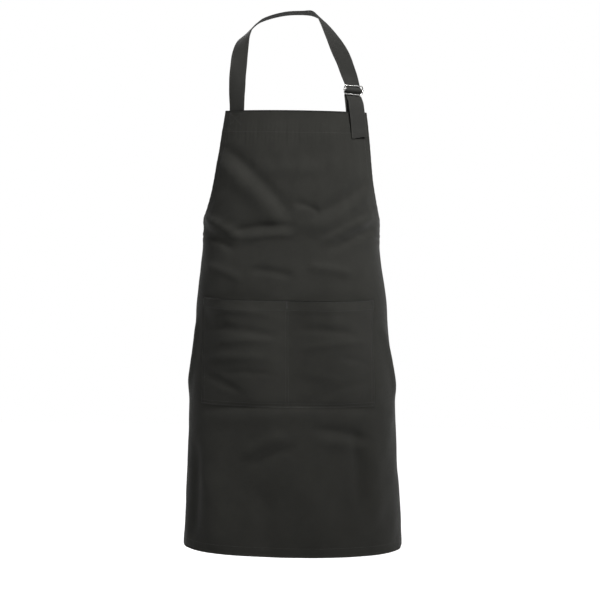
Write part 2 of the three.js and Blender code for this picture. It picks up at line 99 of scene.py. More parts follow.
def section(drop):
    """The body's outline at one drop, from the middle of the front to the middle of the back."""
    key = round(float(drop), 2)
    if key not in section_cache:
        width, depth, shift, front = body(drop)
        curve = lambda c: np.sign(c) * np.abs(c) ** (2 / ROUNDNESS)
        x = width * curve(np.sin(ANGLES))
        y = depth - front - depth * curve(np.cos(ANGLES))
        run = np.hypot(np.diff(x), np.diff(y))
        arc = np.concatenate([[0], np.cumsum(run)])
        section_cache[key] = (arc, x, y, shift)
    return section_cache[key]


def on_body(along, drop, lift=0.0, rise=None):
    """Points on the body in metres; `along` may be an array. `rise` sets the height instead."""
    arc, x, y, shift = section(drop)
    along = np.asarray(along, float)
    side, far = np.where(along < 0, -1, 1), np.abs(along)
    at = lambda s: (np.interp(s, arc, x), np.interp(s, arc, y))
    (x0, y0), (x1, y1) = at(np.maximum(far - 1, 0)), at(far + 1)
    length = np.hypot(x1 - x0, y1 - y0)
    px, py = at(far)
    px, py = px + lift * (y1 - y0) / length, py - lift * (x1 - x0) / length
    height = np.full_like(px, -drop if rise is None else rise)
    return (np.stack([shift + side * px, py, height], -1) - NAPE) * MM


def level(along, drop=0):
    """The level direction along the cloth at one place."""
    d = on_body(along + 1, drop) - on_body(along - 1, drop)
    return d / np.linalg.norm(d)


def place(x, y, z):
    """A point typed from the bib's top centre, in the frame's axes and metres."""
    return (np.array((x, y, z), float) - NAPE) * MM


def bezier(t):
    p = [(BIB / 2, 0), (BIB / 2 + ARMHOLE_FLARE[0], ARMHOLE_PULL[0] * WAIST),
         (BIB / 2 + ARMHOLE_FLARE[1], ARMHOLE_PULL[1] * WAIST), (SKIRT / 2, WAIST)]
    w = [(1 - t) ** 3, 3 * t * (1 - t) ** 2, 3 * t * t * (1 - t), t ** 3]
    return sum(a * q[0] for a, q in zip(w, p)), sum(a * q[1] for a, q in zip(w, p))


ARMHOLE = np.array([bezier(t) for t in np.linspace(0, 1, 400)])


def half_width(drop):
    """Half the panel's width: the armhole curve above the waist, straight below it."""
    return np.where(drop >= WAIST, SKIRT / 2, np.interp(drop, ARMHOLE[:, 1], ARMHOLE[:, 0]))


print("half width at bib, armhole, waist:", [round(float(half_width(d))) for d in (0, 180, 250)])

# %% [markdown]
# ## Camera and studio
# The camera looks at the apron's face from a little over four metres, with a long lens, slightly
# from above, as a catalogue picture is taken. Two soft lights in front, two behind and a faint
# room keep the dark cloth readable: the key is high on the right, so the left side falls off.
# To the camera alone, the room is plain white.

# %% Camera
CAMERA_AWAY, CAMERA_DOWN, CAMERA_ROLL, FRAME_WIDTH = 4300, 4.8, 0.8, 1158
aim = place(12.8, 0, -362)
tilt = math.radians(CAMERA_DOWN)
camera = bpy.data.objects.new("camera", bpy.data.cameras.new("camera"))
bpy.context.scene.collection.objects.link(camera)
camera.location = aim + CAMERA_AWAY * MM * np.array((0, -math.cos(tilt), math.sin(tilt)))
camera.rotation_mode = "XYZ"
camera.rotation_euler = (math.pi / 2 - tilt, 0, 0)
camera.data.sensor_width = 36
camera.data.lens = 36 * CAMERA_AWAY / FRAME_WIDTH
camera.rotation_euler.rotate_axis("Z", math.radians(CAMERA_ROLL))
bpy.context.scene.camera = camera
print("lens, mm:", round(camera.data.lens, 1))

# %% Lights, room and floor
def area_light(name, at, size, watts, towards, spread=180):
    lamp = bpy.data.lights.new(name, "AREA")
    lamp.shape, lamp.size, lamp.energy = "DISK", size, watts
    lamp.spread = math.radians(spread)
    holder = bpy.data.objects.new(name, lamp)
    bpy.context.scene.collection.objects.link(holder)
    holder.location = at
    holder.rotation_euler = (Vector(towards) - Vector(at)).to_track_quat("-Z", "Y").to_euler()


chest = place(0, 0, -300)
bib_top = place(0, 0, 0)
area_light("key", chest + np.array((1.7, -1.9, 2.5)), 1.1, 9.5, bib_top, spread=34)
area_light("fill", chest + np.array((-2.0, -2.8, 2.0)), 1.8, 3.2, bib_top, spread=34)
area_light("back", chest + np.array((-1.4, 3.2, 1.9)), 2.2, 34, chest)
area_light("rim", chest + np.array((2.6, 0.9, 0.9)), 1.2, 8, chest)

world = bpy.data.worlds.new("room")
bpy.context.scene.world = world
world.use_nodes = True
room = world.node_tree
room.nodes["Background"].inputs["Strength"].default_value = 0.045
white = room.nodes.new("ShaderNodeBackground")
white.inputs["Color"].default_value = (1, 1, 1, 1)
white.inputs["Strength"].default_value = 1.0
room.nodes["Background"].inputs["Color"].default_value = (1, 1, 1, 1)
seen = room.nodes.new("ShaderNodeLightPath")
choose = room.nodes.new("ShaderNodeMixShader")
room.links.new(seen.outputs["Is Camera Ray"], choose.inputs[0])
room.links.new(room.nodes["Background"].outputs[0], choose.inputs[1])
room.links.new(white.outputs[0], choose.inputs[2])
room.links.new(choose.outputs[0], room.nodes["World Output"].inputs["Surface"])
bpy.context.scene.view_settings.view_transform = "Standard"

FLOOR_BELOW_HEM = 480
floor_z = place(0, 0, -LENGTH - FLOOR_BELOW_HEM)[2]
floor_mesh = bpy.data.meshes.new("floor")
floor_mesh.from_pydata([(-3, -1.6, floor_z), (3, -1.6, floor_z), (3, 5, floor_z), (-3, 5, floor_z)],
                       [], [(0, 1, 2, 3)])
floor = bpy.data.objects.new("floor", floor_mesh)
bpy.context.scene.collection.objects.link(floor)
print("lights and floor placed; the floor lies", FLOOR_BELOW_HEM, "mm under the hem")

# %% [markdown]
# ## Shader maths as expressions
# A material is a graph of small nodes, which is hard to read as a list of links. `Sum` wraps one
# socket, so that `0.9 + 0.2 * noise` adds the Math nodes by itself. `Finish` opens a material
# and makes any other node with one method.

# %% Shader helpers
class Sum:
    """One number that varies over the surface; arithmetic on it adds Math nodes."""

    def __init__(self, finish, socket):
        self.finish, self.socket = finish, socket

    def maths(self, operation, *others, flip=False):
        values = [self, *others]
        if flip:
            values.reverse()
        node = self.finish.node("ShaderNodeMath", {"operation": operation}, *values)
        return Sum(self.finish, node.outputs[0])

    def __add__(self, other):
        return self.maths("ADD", other)

    def __radd__(self, other):
        return self.maths("ADD", other, flip=True)

    def __sub__(self, other):
        return self.maths("SUBTRACT", other)

    def __rsub__(self, other):
        return self.maths("SUBTRACT", other, flip=True)

    def __mul__(self, other):
        return self.maths("MULTIPLY", other)

    def __rmul__(self, other):
        return self.maths("MULTIPLY", other, flip=True)

    def __pow__(self, other):
        return self.maths("POWER", other)

    def sine(self):
        return self.maths("SINE")

    def step_up(self, low, high):
        """0 below low, 1 above high, smooth between."""
        node = self.finish.node("ShaderNodeMapRange", {"interpolation_type": "SMOOTHSTEP"},
                                self, low, high, 0.0, 1.0)
        return Sum(self.finish, node.outputs[0])


class Finish:
    """A material being built."""

    def __init__(self, name, **constants):
        self.material = bpy.data.materials.new(name)
        self.material.use_nodes = True
        self.tree = self.material.node_tree
        self.shader = self.tree.nodes["Principled BSDF"]
        for socket, value in constants.items():
            self.shader.inputs[socket.replace("_", " ")].default_value = value

    def node(self, kind, settings=None, *inputs, **named):
        node = self.tree.nodes.new(kind)
        for key, value in (settings or {}).items():
            setattr(node, key, value)
        for socket, value in list(zip(node.inputs, inputs)) + [
                (node.inputs[key.replace("_", " ")], value) for key, value in named.items()]:
            self.feed(socket, value)
        return node

    def feed(self, socket, value):
        if isinstance(value, Sum):
            value = value.socket
        if isinstance(value, bpy.types.NodeSocket):
            self.tree.links.new(value, socket)
        elif value is not None:
            socket.default_value = value

    def split(self, vector):
        parts = self.node("ShaderNodeSeparateXYZ", None, vector)
        return [Sum(self, out) for out in parts.outputs]

    def uv(self, name):
        return self.split(self.node("ShaderNodeUVMap", {"uv_map": name}).outputs[0])

    def attribute(self, name):
        return Sum(self, self.node("ShaderNodeAttribute", {"attribute_name": name}).outputs["Fac"])

    def where(self):
        return self.node("ShaderNodeTexCoord").outputs["Object"]

    def noise(self, vector, scale, detail=3.0, roughness=0.5):
        node = self.node("ShaderNodeTexNoise", None, Vector=vector, Scale=scale, Detail=detail,
                         Roughness=roughness)
        return Sum(self, node.outputs[0])

    def join(self, x, y, z=0.0):
        return self.node("ShaderNodeCombineXYZ", None, x, y, z).outputs[0]

    def blend(self, share, one, other):
        """A colour between two others."""
        node = self.node("ShaderNodeMix", {"data_type": "RGBA"})
        self.feed(node.inputs[0], share)
        self.feed(node.inputs[6], one)
        self.feed(node.inputs[7], other)
        return node.outputs[2]

    def bump(self, height, depth, after=None):
        node = self.node("ShaderNodeBump", None, Strength=1.0, Distance=depth, Height=height)
        if after is not None:
            self.feed(node.inputs["Normal"], after)
        return node.outputs[0]

    def done(self, **varying):
        for socket, value in varying.items():
            self.feed(self.shader.inputs[socket.replace("_", " ")], value)
        return self.material


print("shader helpers ready")

# %% [markdown]
# ## Cotton twill
# Twill shows fine ribs on a slant: each weft thread passes over two warps and the next row starts
# one warp along. The pattern reads the piece's own UV map, which is in metres on the cutting
# table, so the ribs follow the cloth round every bend and keep one size on every piece. Dyed
# cotton fades where it rubs, so folds and edges carry an attribute `wear` that lightens them,
# and slow noise gives the cloudiness of piece-dyed cloth.

# %% The twill finish
TWILL_PITCH = 0.0011      # rib to rib
def twill(name, dark, pale, sheen=0.1, slant=1.0):
    f = Finish(name, Roughness=0.86, Sheen_Weight=sheen, Sheen_Roughness=0.45,
               Specular_IOR_Level=0.22)
    u, v, _ = f.uv("cut")
    turn = 2 * math.pi / TWILL_PITCH
    rib = ((u * slant + v) * turn).sine() * 0.5 + 0.5
    warp = (u * (2.3 * turn)).sine() * 0.5 + 0.5
    weft = (v * (2.3 * turn)).sine() * 0.5 + 0.5
    weave = rib * 0.7 + warp * weft * 0.3
    yarn = f.noise(f.join(u * 900.0, v * 90.0), 1.0, 2.0)
    slub = f.noise(f.join(u * 60.0, v * 700.0), 1.0, 2.0)
    cloud = f.noise(f.where(), 7.0, 4.0, 0.6)
    patch = f.noise(f.where(), 26.0, 3.0, 0.55)
    wear = f.attribute("wear")
    rub = (wear * (0.55 + 0.9 * patch)).step_up(0.15, 1.1)
    lint = f.noise(f.where(), 420.0, 1.0).step_up(0.76, 0.82)
    light = (0.16 + 0.3 * cloud + 0.16 * patch + 0.12 * yarn + 0.1 * slub + 0.2 * weave
             + 0.55 * rub + 0.1 * lint)
    colour = f.blend(light.step_up(0.1, 1.35), dark, pale)
    crumple = f.bump(patch * 0.7 + cloud, 0.0009)
    normal = f.bump(weave + 0.5 * yarn, 0.00011, after=crumple)
    return f.done(Base_Color=colour, Roughness=0.93 - 0.1 * weave - 0.08 * rub, Normal=normal)


PANEL_CLOTH = twill("panel_cotton", (0.0068, 0.0068, 0.0054, 1), (0.041, 0.0405, 0.0355, 1))
STRAP_CLOTH = twill("strap_cotton", (0.0074, 0.0074, 0.0066, 1), (0.044, 0.0435, 0.0395, 1),
                    slant=-1.0)
print("twill:", PANEL_CLOTH.name, STRAP_CLOTH.name)

# %% [markdown]
# ## Thread, buckle metal and label tape
# Thread is twisted polyester with a soft gleam. The buckle is nickel-plated wire: bright, with
# faint draw lines and duller patches where webbing rubs it. The label is plain woven tape.

# %% Thread, nickel and tape finishes, and the glowing floor with its painted shadow
def thread():
    f = Finish("sewing_thread", Roughness=0.55, Specular_IOR_Level=0.4, Sheen_Weight=0.1)
    twist = f.noise(f.where(), 2600.0, 1.0)
    tone = f.noise(f.where(), 40.0, 2.0)
    share = (twist * 0.7 + tone * 0.5).step_up(0.2, 1.1)
    return f.done(Base_Color=f.blend(share, (0.009, 0.009, 0.0085, 1), (0.042, 0.042, 0.039, 1)),
                  Roughness=0.45 + 0.3 * twist, Normal=f.bump(twist, 0.0001))


def nickel():
    f = Finish("plated_wire", Metallic=1.0)
    x, y, z = f.split(f.where())
    drawn = f.noise(f.join(x * 300.0, y * 4000.0, z * 4000.0), 1.0, 2.0)
    dull = f.noise(f.where(), 350.0, 4.0, 0.6)
    scuff = dull.step_up(0.5, 0.72)
    colour = f.blend(scuff, (0.82, 0.815, 0.79, 1), (0.52, 0.51, 0.48, 1))
    return f.done(Base_Color=colour, Roughness=0.16 + 0.1 * drawn + 0.22 * scuff,
                  Normal=f.bump(drawn + dull, 0.00003))


def tape():
    f = Finish("label_weave", Roughness=0.8, Sheen_Weight=0.2)
    u, v, _ = f.uv("cut")
    grid = (u * 9000.0).sine() * (v * 7000.0).sine() * 0.5 + 0.5
    age = f.noise(f.where(), 90.0, 3.0)
    colour = f.blend((grid * 0.4 + age * 0.8).step_up(0.1, 1.1), (0.42, 0.41, 0.38, 1),
                     (0.62, 0.61, 0.57, 1))
    return f.done(Base_Color=colour, Roughness=0.7 + 0.2 * grid, Normal=f.bump(grid, 0.00008))


def glowing_floor_and_painted_shadow():
    """The floor glows white and lights the apron though it is no lamp; close under the apron the glow
    is dim, a painted shadow that also lets little light come from below.
    """
    f = Finish("glowing_floor_painted_shadow", Roughness=0.9, Specular_IOR_Level=0.1, Emission_Strength=1.0)
    x, y, _ = f.split(f.where())
    # painted shadow: the floor's glow is dim under and round the apron, and full from 1.45 m out
    far = (((x * x) + (y * y)) ** 0.5).step_up(0.9, 1.45)
    tone = f.noise(f.where(), 1.5, 2.0)
    return f.done(Base_Color=f.blend(tone, (0.86, 0.86, 0.86, 1), (0.9, 0.9, 0.9, 1)),
                  Emission_Color=f.blend(far, (0.22, 0.22, 0.22, 1), (1, 1, 1, 1)))


THREAD, NICKEL, TAPE = thread(), nickel(), tape()
floor.data.materials.append(glowing_floor_and_painted_shadow())
print("finishes:", [m.name for m in bpy.data.materials])

# %% [markdown]
# ## Sheets of cloth from a grid
# Every cloth piece starts as a grid of points. `slab` gives it a real thickness by pushing the
# two skins apart along the surface's own normals, closes the rim, and stores the cutting-table
# place of each point in a UV map called `cut`, in metres, which the twill reads.

# %% Grids into closed cloth
def normals_of(points):
    """Unit normals of a grid of points, outwards for rows that drop and columns that go right."""
    down, right = np.gradient(points, axis=0), np.gradient(points, axis=1)
    n = np.cross(down, right)
    return n / np.maximum(np.linalg.norm(n, axis=-1, keepdims=True), 1e-12)


def slab(name, points, cut, thick, finish, wear=None, normals=None):
    """A closed sheet around a grid: `points` is its middle, in metres, and `cut` its UVs."""
    rows, columns = points.shape[:2]
    n = normals_of(points) if normals is None else normals
    half = np.broadcast_to(np.asarray(thick) / 2, (rows, columns)).copy()
    half[[0, -1], :] *= 0.55  # the rim is a little thinner, as a pressed edge is
    half[:, [0, -1]] *= 0.55
    skins = [points + n * half[..., None], points - n * half[..., None]]
    vertices = np.concatenate([s.reshape(-1, 3) for s in skins])
    index = np.arange(rows * columns).reshape(rows, columns)
    quads = np.stack([index[:-1, :-1], index[1:, :-1], index[1:, 1:], index[:-1, 1:]], -1)
    quads = quads.reshape(-1, 4)
    size = rows * columns
    rim = np.concatenate([index[0, :], index[1:, -1], index[-1, -2::-1], index[-2:0:-1, 0]])
    after = np.roll(rim, -1)
    wall = np.stack([rim, rim + size, after + size, after], -1)
    faces = np.concatenate([quads[:, ::-1], quads + size, wall[:, ::-1]])
    mesh = bpy.data.meshes.new(name)
    mesh.from_pydata(vertices.tolist(), [], faces.tolist())
    volume = signed_volume(vertices, faces)
    if volume < 0:
        mesh.flip_normals()
    flat = np.concatenate([cut.reshape(-1, 2)] * 2)
    layer = mesh.uv_layers.new(name="cut")
    corner = np.empty(len(mesh.loops), int)
    mesh.loops.foreach_get("vertex_index", corner)
    layer.data.foreach_set("uv", flat[corner].astype(np.float32).ravel())
    store = mesh.attributes.new("wear", "FLOAT", "POINT")
    worn = np.zeros((rows, columns)) if wear is None else wear
    store.data.foreach_set("value", np.concatenate([worn.ravel()] * 2).astype(np.float32))
    mesh.polygons.foreach_set("use_smooth", np.ones(len(mesh.polygons), bool))
    mesh.materials.append(finish)
    piece = bpy.data.objects.new(name + "_cloth", mesh)
    bpy.context.scene.collection.objects.link(piece)
    return piece


def signed_volume(vertices, quads):
    a, b, c, d = (vertices[quads[:, k]] for k in range(4))
    return float(np.sum(np.einsum("ij,ij->i", a, np.cross(b, c) + np.cross(c, d))))


def refine(grid):
    """Twice as many steps both ways, on smooth cubic curves through the old points."""
    def once(g):
        ends = np.concatenate([2 * g[:1] - g[1:2], g, 2 * g[-1:] - g[-2:-1]])
        middle = (-ends[:-3] + 9 * ends[1:-2] + 9 * ends[2:-1] - ends[3:]) / 16
        out = np.empty((2 * len(g) - 1, *g.shape[1:]))
        out[::2], out[1::2] = g, middle
        return out
    return once(once(grid).swapaxes(0, 1)).swapaxes(0, 1)


def smoothstep(low, high, value):
    t = np.clip((np.asarray(value, float) - low) / (high - low), 0, 1)
    return t * t * (3 - 2 * t)


print("grid tools ready")

# %% [markdown]
# ## Draping the panel
# The panel is cut flat, so its drape is found by simulation: a grid of cloth cells is laid round
# an invisible body, held at the strap roots and at the waist corners, and let fall. The cloth
# grows a little as it falls, and that ease gives it slack. Only the broad slack is used: the
# move is smoothed, held back near the top edge and along the vertical, and kept under a cap, so
# the panel stays near where the frame has it. Most of the folds that show are drawn further down.

# %% The panel's grid, and the body under it
ROW_DROPS = np.concatenate([np.linspace(0, 180, 21)[:-1], np.linspace(180, WAIST, 12)[:-1],
                            np.linspace(WAIST, LENGTH, 64)])
COLUMN_SHARES = np.linspace(-1, 1, 79)
CUT = np.stack([np.stack([share * half_width(drop) for share in COLUMN_SHARES])
                for drop in ROW_DROPS])[..., None]
CUT = np.concatenate([CUT, np.broadcast_to(ROW_DROPS[:, None, None], CUT.shape)], -1)


def first_lie(lift):
    """The grid as it is laid on: lift is how far its middle is outside the body."""
    rows = [on_body(CUT[j, :, 0], drop, lift) for j, drop in enumerate(ROW_DROPS)]
    return np.stack(rows)


def body_form():
    levels = np.linspace(-70, LENGTH + 40, 60)
    around = np.linspace(-1, 1, 97)[:-1]
    points = [on_body(around * section(d)[0][-1], max(d, 0), -2.2, rise=-d) for d in levels]
    vertices = np.concatenate(points)
    n = len(around)
    faces = [(j * n + i, (j + 1) * n + i, (j + 1) * n + (i + 1) % n, j * n + (i + 1) % n)
             for j in range(len(levels) - 1) for i in range(n)]
    mesh = bpy.data.meshes.new("form")
    mesh.from_pydata(vertices.tolist(), [], faces)
    form = bpy.data.objects.new("form", mesh)
    bpy.context.scene.collection.objects.link(form)
    return form


# %% Let it fall
DRAPE_FRAMES = 34
DRAPE_CAP = 15            # no point moves further than this, in millimetres
DRAPE_SINK = 0.3          # the share of the vertical move that is kept
DRAPE_TOP = 0.35          # the share of the move that is kept at the top edge


def drape(start):
    """Cloth simulation of the panel; returns the grid of settled points."""
    rows, columns = start.shape[:2]
    rng = np.random.default_rng(7)
    jitter = rng.normal(0, 0.35 * MM, start.shape[:2])
    laid = start + normals_of(start) * jitter[..., None]
    index = np.arange(rows * columns).reshape(rows, columns)
    quads = np.stack([index[:-1, :-1], index[1:, :-1], index[1:, 1:], index[:-1, 1:]], -1)
    mesh = bpy.data.meshes.new("drape")
    mesh.from_pydata(laid.reshape(-1, 3).tolist(), [], quads.reshape(-1, 4).tolist())
    cloth = bpy.data.objects.new("drape", mesh)
    bpy.context.scene.collection.objects.link(cloth)
    pins = cloth.vertex_groups.new(name="pins")
    along, drop = CUT[..., 0], CUT[..., 1]
    strap = ((np.abs(np.abs(along) - 117) < 15) & (drop < 12))
    corner = (np.abs(along) > SKIRT / 2 - 26) & (drop > WAIST - 8) & (drop < WAIST + 36)
    pins.add(index[strap | corner].ravel().tolist(), 1.0, "REPLACE")
    form = body_form()
    form.modifiers.new("solid", "COLLISION")
    form.collision.thickness_outer = 0.001
    form.collision.cloth_friction = 6
    sim = cloth.modifiers.new("cloth", "CLOTH")
    s = sim.settings
    s.quality, s.mass, s.air_damping = 7, 0.0022, 1.5
    s.tension_stiffness = s.compression_stiffness = 22
    s.shear_stiffness, s.bending_stiffness = 5, 0.12
    s.tension_damping = s.compression_damping = 8
    s.vertex_group_mass = "pins"
    s.shrink_min = -0.02
    sim.collision_settings.distance_min = 0.0012
    sim.collision_settings.collision_quality = 3
    sim.point_cache.frame_end = DRAPE_FRAMES
    scene = bpy.context.scene
    for number in range(1, DRAPE_FRAMES + 1):
        scene.frame_set(number)
    ready = cloth.evaluated_get(bpy.context.evaluated_depsgraph_get())
    out = np.empty(rows * columns * 3, np.float32)
    ready.data.vertices.foreach_get("co", out)
    settled = out.astype(float).reshape(rows, columns, 3)
    scene.frame_set(1)
    for thing in (cloth, form):
        bpy.data.objects.remove(thing)
    move = settled - start
    move[..., 2] *= DRAPE_SINK  # the ease shows as slack, and not as a longer apron
    for _ in range(3):  # pressed cotton keeps broad folds and loses the finest
        wide = np.pad(move, ((1, 1), (1, 1), (0, 0)), mode="edge")
        move = (wide[:-2, 1:-1] + wide[2:, 1:-1] + wide[1:-1, :-2] + wide[1:-1, 2:] + 2 * move) / 6
    move *= (DRAPE_TOP + (1 - DRAPE_TOP) * smoothstep(0, 90, CUT[..., 1]))[..., None]
    far = np.linalg.norm(move, axis=-1, keepdims=True)
    cap = DRAPE_CAP * MM
    print("drape moved, mm: mean", round(float(far.mean()) / MM, 1), "most",
          round(float(far.max()) / MM, 1))
    return start + move * (cap * np.tanh(far / cap) / np.maximum(far, 1e-9))


LIE = first_lie(CLOTH / 2)
SETTLED = drape(LIE)
print("panel grid:", SETTLED.shape[:2])

# %% [markdown]
# ## Creases
# The fall gives only the broad slack of the cloth. The creases of a worn apron are drawn one by
# one: from the armholes to the stomach, at the waist, across the apron below the pocket's foot
# and softly down the skirt. Each is a ridge or a valley along a line on the cutting table, added
# along the cloth's own normal. The skirt's tuck and its hips are added along the normal too.

# %% Creases, and the panel's final grid
CREASES = [  # from and to as (along, drop), how wide, how high
    (-142, 70, 4, 208, 15, -2.6), (-150, 96, -10, 224, 20, 2.2), (152, 132, 22, 206, 13, -2.3),
    (160, 152, 30, 226, 18, 1.8), (-118, 232, 6, 218, 8, -1.9), (-96, 246, 2, 236, 7, 1.4),
    (2, 172, 52, 190, 6, -1.4), (58, 252, 168, 200, 10, 2.2), (76, 266, 178, 222, 9, -1.8),
    (-196, 206, -92, 246, 10, 2.2), (-205, 228, -110, 268, 9, -1.8), (-78, 304, 4, 316, 7, -1.7),
    (30, 296, 120, 312, 9, 1.5), (-180, 300, -96, 322, 9, 1.4), (-60, 116, 60, 112, 16, 1.2),
    (-205, 584, 205, 579, 7, -1.1), (-200, 604, 200, 598, 14, 0.9),
    (-100, 668, -12, 622, 12, 2.4), (-84, 688, 2, 646, 10, -1.9), (38, 610, 156, 634, 10, -2.2),
    (52, 636, 150, 652, 11, 1.8), (122, 612, 131, 768, 14, -3.4), (152, 620, 164, 800, 20, 2.6),
    (-172, 690, -158, 850, 24, 2.4), (-206, 640, -214, 840, 18, -2.4), (30, 700, 52, 856, 26, 2.4),
    (-62, 724, -54, 858, 24, -2.2), (196, 420, 236, 560, 12, 2.2), (-210, 400, -250, 556, 12, 2.2),
    (-40, 24, -36, 92, 20, 0.8), (64, 30, 70, 110, 18, 0.8)]


def crease_height(lines, along, drop):
    height = np.zeros(np.shape(along))
    for a0, d0, a1, d1, width, peak in lines:
        run, fall = a1 - a0, d1 - d0
        length = math.hypot(run, fall)
        t = ((along - a0) * run + (drop - d0) * fall) / length ** 2
        bow = 0.04 * length * np.sin(math.pi * np.clip(t, 0, 1))
        off = ((along - a0) * fall - (drop - d0) * run) / length - bow
        ends = smoothstep(-0.1, 0.22, t) * smoothstep(1.1, 0.78, t)
        height += peak * ends * np.exp(-(off / width) ** 2)
    return height


def pucker(across, from_edge, amount=0.3, pitch=11.0):
    """The little waves a row of stitches draws into the cloth beside it."""
    wave = np.sin(across / pitch * 2 * math.pi) + 0.6 * np.sin(across / pitch * 3.7 + 1.3)
    return amount * wave * np.exp(-(from_edge / 16) ** 2)


bare = refine(SETTLED)
FLAT = refine(CUT)
along, drop = FLAT[..., 0], FLAT[..., 1]
BIB_CROWN = 3            # the top edge stands this much higher in its middle
bare[..., 2] += BIB_CROWN * MM * (1 - np.clip(along / (BIB / 2), -1, 1) ** 2) * np.exp(-drop / 40)
from_side = half_width(drop) - np.abs(along)
SKIRT_TUCK = 7           # the skirt falls in below the pocket and stands out again at the hem
HIPS = 2.4               # the sides stand out this much at the hips
CREASE_DEPTH = 2.1       # every crease's height times this
tuck = -SKIRT_TUCK * smoothstep(560, 690, drop) * smoothstep(872, 730, drop)
hips = HIPS * np.exp(-((drop - 560) / 170) ** 2) * smoothstep(110, 190, np.abs(along))
rise = (CREASE_DEPTH * crease_height(CREASES, along, drop)
        + tuck * smoothstep(190, 90, np.abs(along)) + hips
        + pucker(along, LENGTH - drop) + pucker(along, np.abs(drop - FACING), 0.22, 8)
        + pucker(drop, np.abs(from_side - 12), 0.3, 12))
GRID = bare + normals_of(bare) * (rise * MM)[..., None]
NORMAL = normals_of(GRID)
fold = np.clip(np.abs(crease_height(CREASES, along, drop)) / 3, 0, 1)
rim = np.exp(-np.minimum(np.minimum(from_side, drop), LENGTH - drop) / 3.5)
seam = np.exp(-(np.abs(drop - FACING) / 3) ** 2) + np.exp(-((LENGTH - drop - 15) / 4) ** 2)
PANEL_WEAR = np.clip(0.55 * rim + 0.28 * fold ** 2 + 0.2 * seam, 0, 1)
print("panel grid:", GRID.shape[:2], "creases:", len(CREASES))


# %% Laying plies on the panel
def surf(along, drop, lift=0.0):
    """Points on the settled panel's middle, `lift` millimetres out from it."""
    along, drop, lift = np.broadcast_arrays(*(np.asarray(v, float) for v in (along, drop, lift)))
    rows, columns = GRID.shape[:2]
    r = np.interp(drop, FLAT[:, 0, 1], np.arange(rows))
    c = (np.clip(along / half_width(drop), -1, 1) + 1) / 2 * (columns - 1)
    i, j = np.minimum(r.astype(int), rows - 2), np.minimum(c.astype(int), columns - 2)
    s, t = (r - i)[..., None], (c - j)[..., None]
    mix = lambda g: ((g[i, j] * (1 - t) + g[i, j + 1] * t) * (1 - s)
                     + (g[i + 1, j] * (1 - t) + g[i + 1, j + 1] * t) * s)
    n = mix(NORMAL)
    n /= np.linalg.norm(n, axis=-1, keepdims=True)
    return mix(GRID) + n * (lift * MM)[..., None]


def give(piece, body, nodes=()):
    """Hand a piece to the frame: the body it rides, and the solids it stands for."""
    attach(piece, body)
    if nodes:
        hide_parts(*nodes)
    return piece


def lay(name, along, drop, lift, wear=None, thick=CLOTH, finish=PANEL_CLOTH, nodes=None,
        slot="panel_twill"):
    along, drop = np.broadcast_arrays(along, drop)
    piece = slab(name, surf(along, drop, lift), np.stack([along, drop], -1) * MM, thick * MM,
                 finish, wear)
    return give(piece, "apron", nodes or [name])


def patch(left, right, top, foot, across, down):
    """Along and drop over part of the panel; left and right are shares of its half width."""
    drops = np.linspace(top, foot, down)[:, None] * np.ones(across)
    return np.linspace(left, right, across) * half_width(drops), drops


panel = give(slab("panel", GRID, FLAT * MM, CLOTH * MM, PANEL_CLOTH, PANEL_WEAR), "apron",
             ["front_panel"])
INNER = -(CLOTH + SEAM)
EDGE = (SKIRT / 2 - HEM) / (SKIRT / 2)
facing = lay("top_facing", *patch(-EDGE, EDGE, 0, FACING, 90, 14), INNER)
for word, side in (("left", -1), ("right", 1)):
    span = sorted((side * EDGE, side))
    lay("armhole_hem_" + word, *patch(*span, FACING, WAIST - 8, 6, 46), INNER)
    lay("side_hem_" + word, *patch(*span, WAIST, LENGTH - HEM, 6, 110), INNER)
lay("bottom_hem", *patch(-EDGE, EDGE, LENGTH - HEM, LENGTH, 150, 7), INNER)

# %% [markdown]
# ## Pocket
# One patch, stitched at both sides, along its foot and down a divider left of the centre, so it
# makes two pouches. Each stands open at its mouth and lies flat at its seams; the patch has its
# own creases, where the weight of what it has carried pulled it down.

# %% Pocket
LEFT, RIGHT = POCKET["shift"] - POCKET["width"] / 2, POCKET["shift"] + POCKET["width"] / 2
FOOT = POCKET["drop"] + POCKET["height"]
POCKET_CREASE_DEPTH = 1.7
POCKET_CREASES = [
    (-176, 386, -26, 392, 8, 1.3), (-168, 420, -30, 430, 9, -1.8), (-150, 448, -24, 440, 8, 1.3),
    (-172, 482, -34, 474, 10, 1.8), (-176, 510, -90, 548, 9, -3.4), (-130, 506, -30, 505, 7, -1.6),
    (-60, 520, -18, 470, 8, 1.2),
    (-150, 540, -60, 556, 7, 1.2), (6, 418, 120, 426, 9, -1.6), (10, 456, 150, 444, 9, 1.4),
    (0, 500, 96, 520, 12, 1.6), (40, 552, 156, 520, 9, -2.2), (90, 470, 160, 490, 8, -1.3),
    (-4, 540, 60, 548, 6, 1.0), (-128, 366, -118, 410, 14, 0.9), (66, 366, 74, 414, 15, 1.0)]


def pocket_lift(along, drop):
    """How far the patch's inner side is out from the body."""
    share = np.clip((along - LEFT) / (POCKET["width"] / 2), 0, 2)
    across = np.abs(np.sin(math.pi * share))
    down = np.clip((drop - POCKET["drop"]) / POCKET["height"], 0, 1)
    free = across ** 0.6 * (1 - down ** 3)
    mouth = (CLOTH + SEAM) * smoothstep(POCKET["hem"] + 8, POCKET["hem"] - 2, drop - POCKET["drop"])
    sway = 1.2 * np.sin(along / 27 + 0.7) * across * np.exp(-down * 5)
    creases = POCKET_CREASE_DEPTH * crease_height(POCKET_CREASES, along, drop) * free
    return CLOTH + SEAM + mouth + POCKET["bulge"] * across ** 1.5 * (1 - down ** 2) + np.maximum(
        creases + sway, -5 * free)


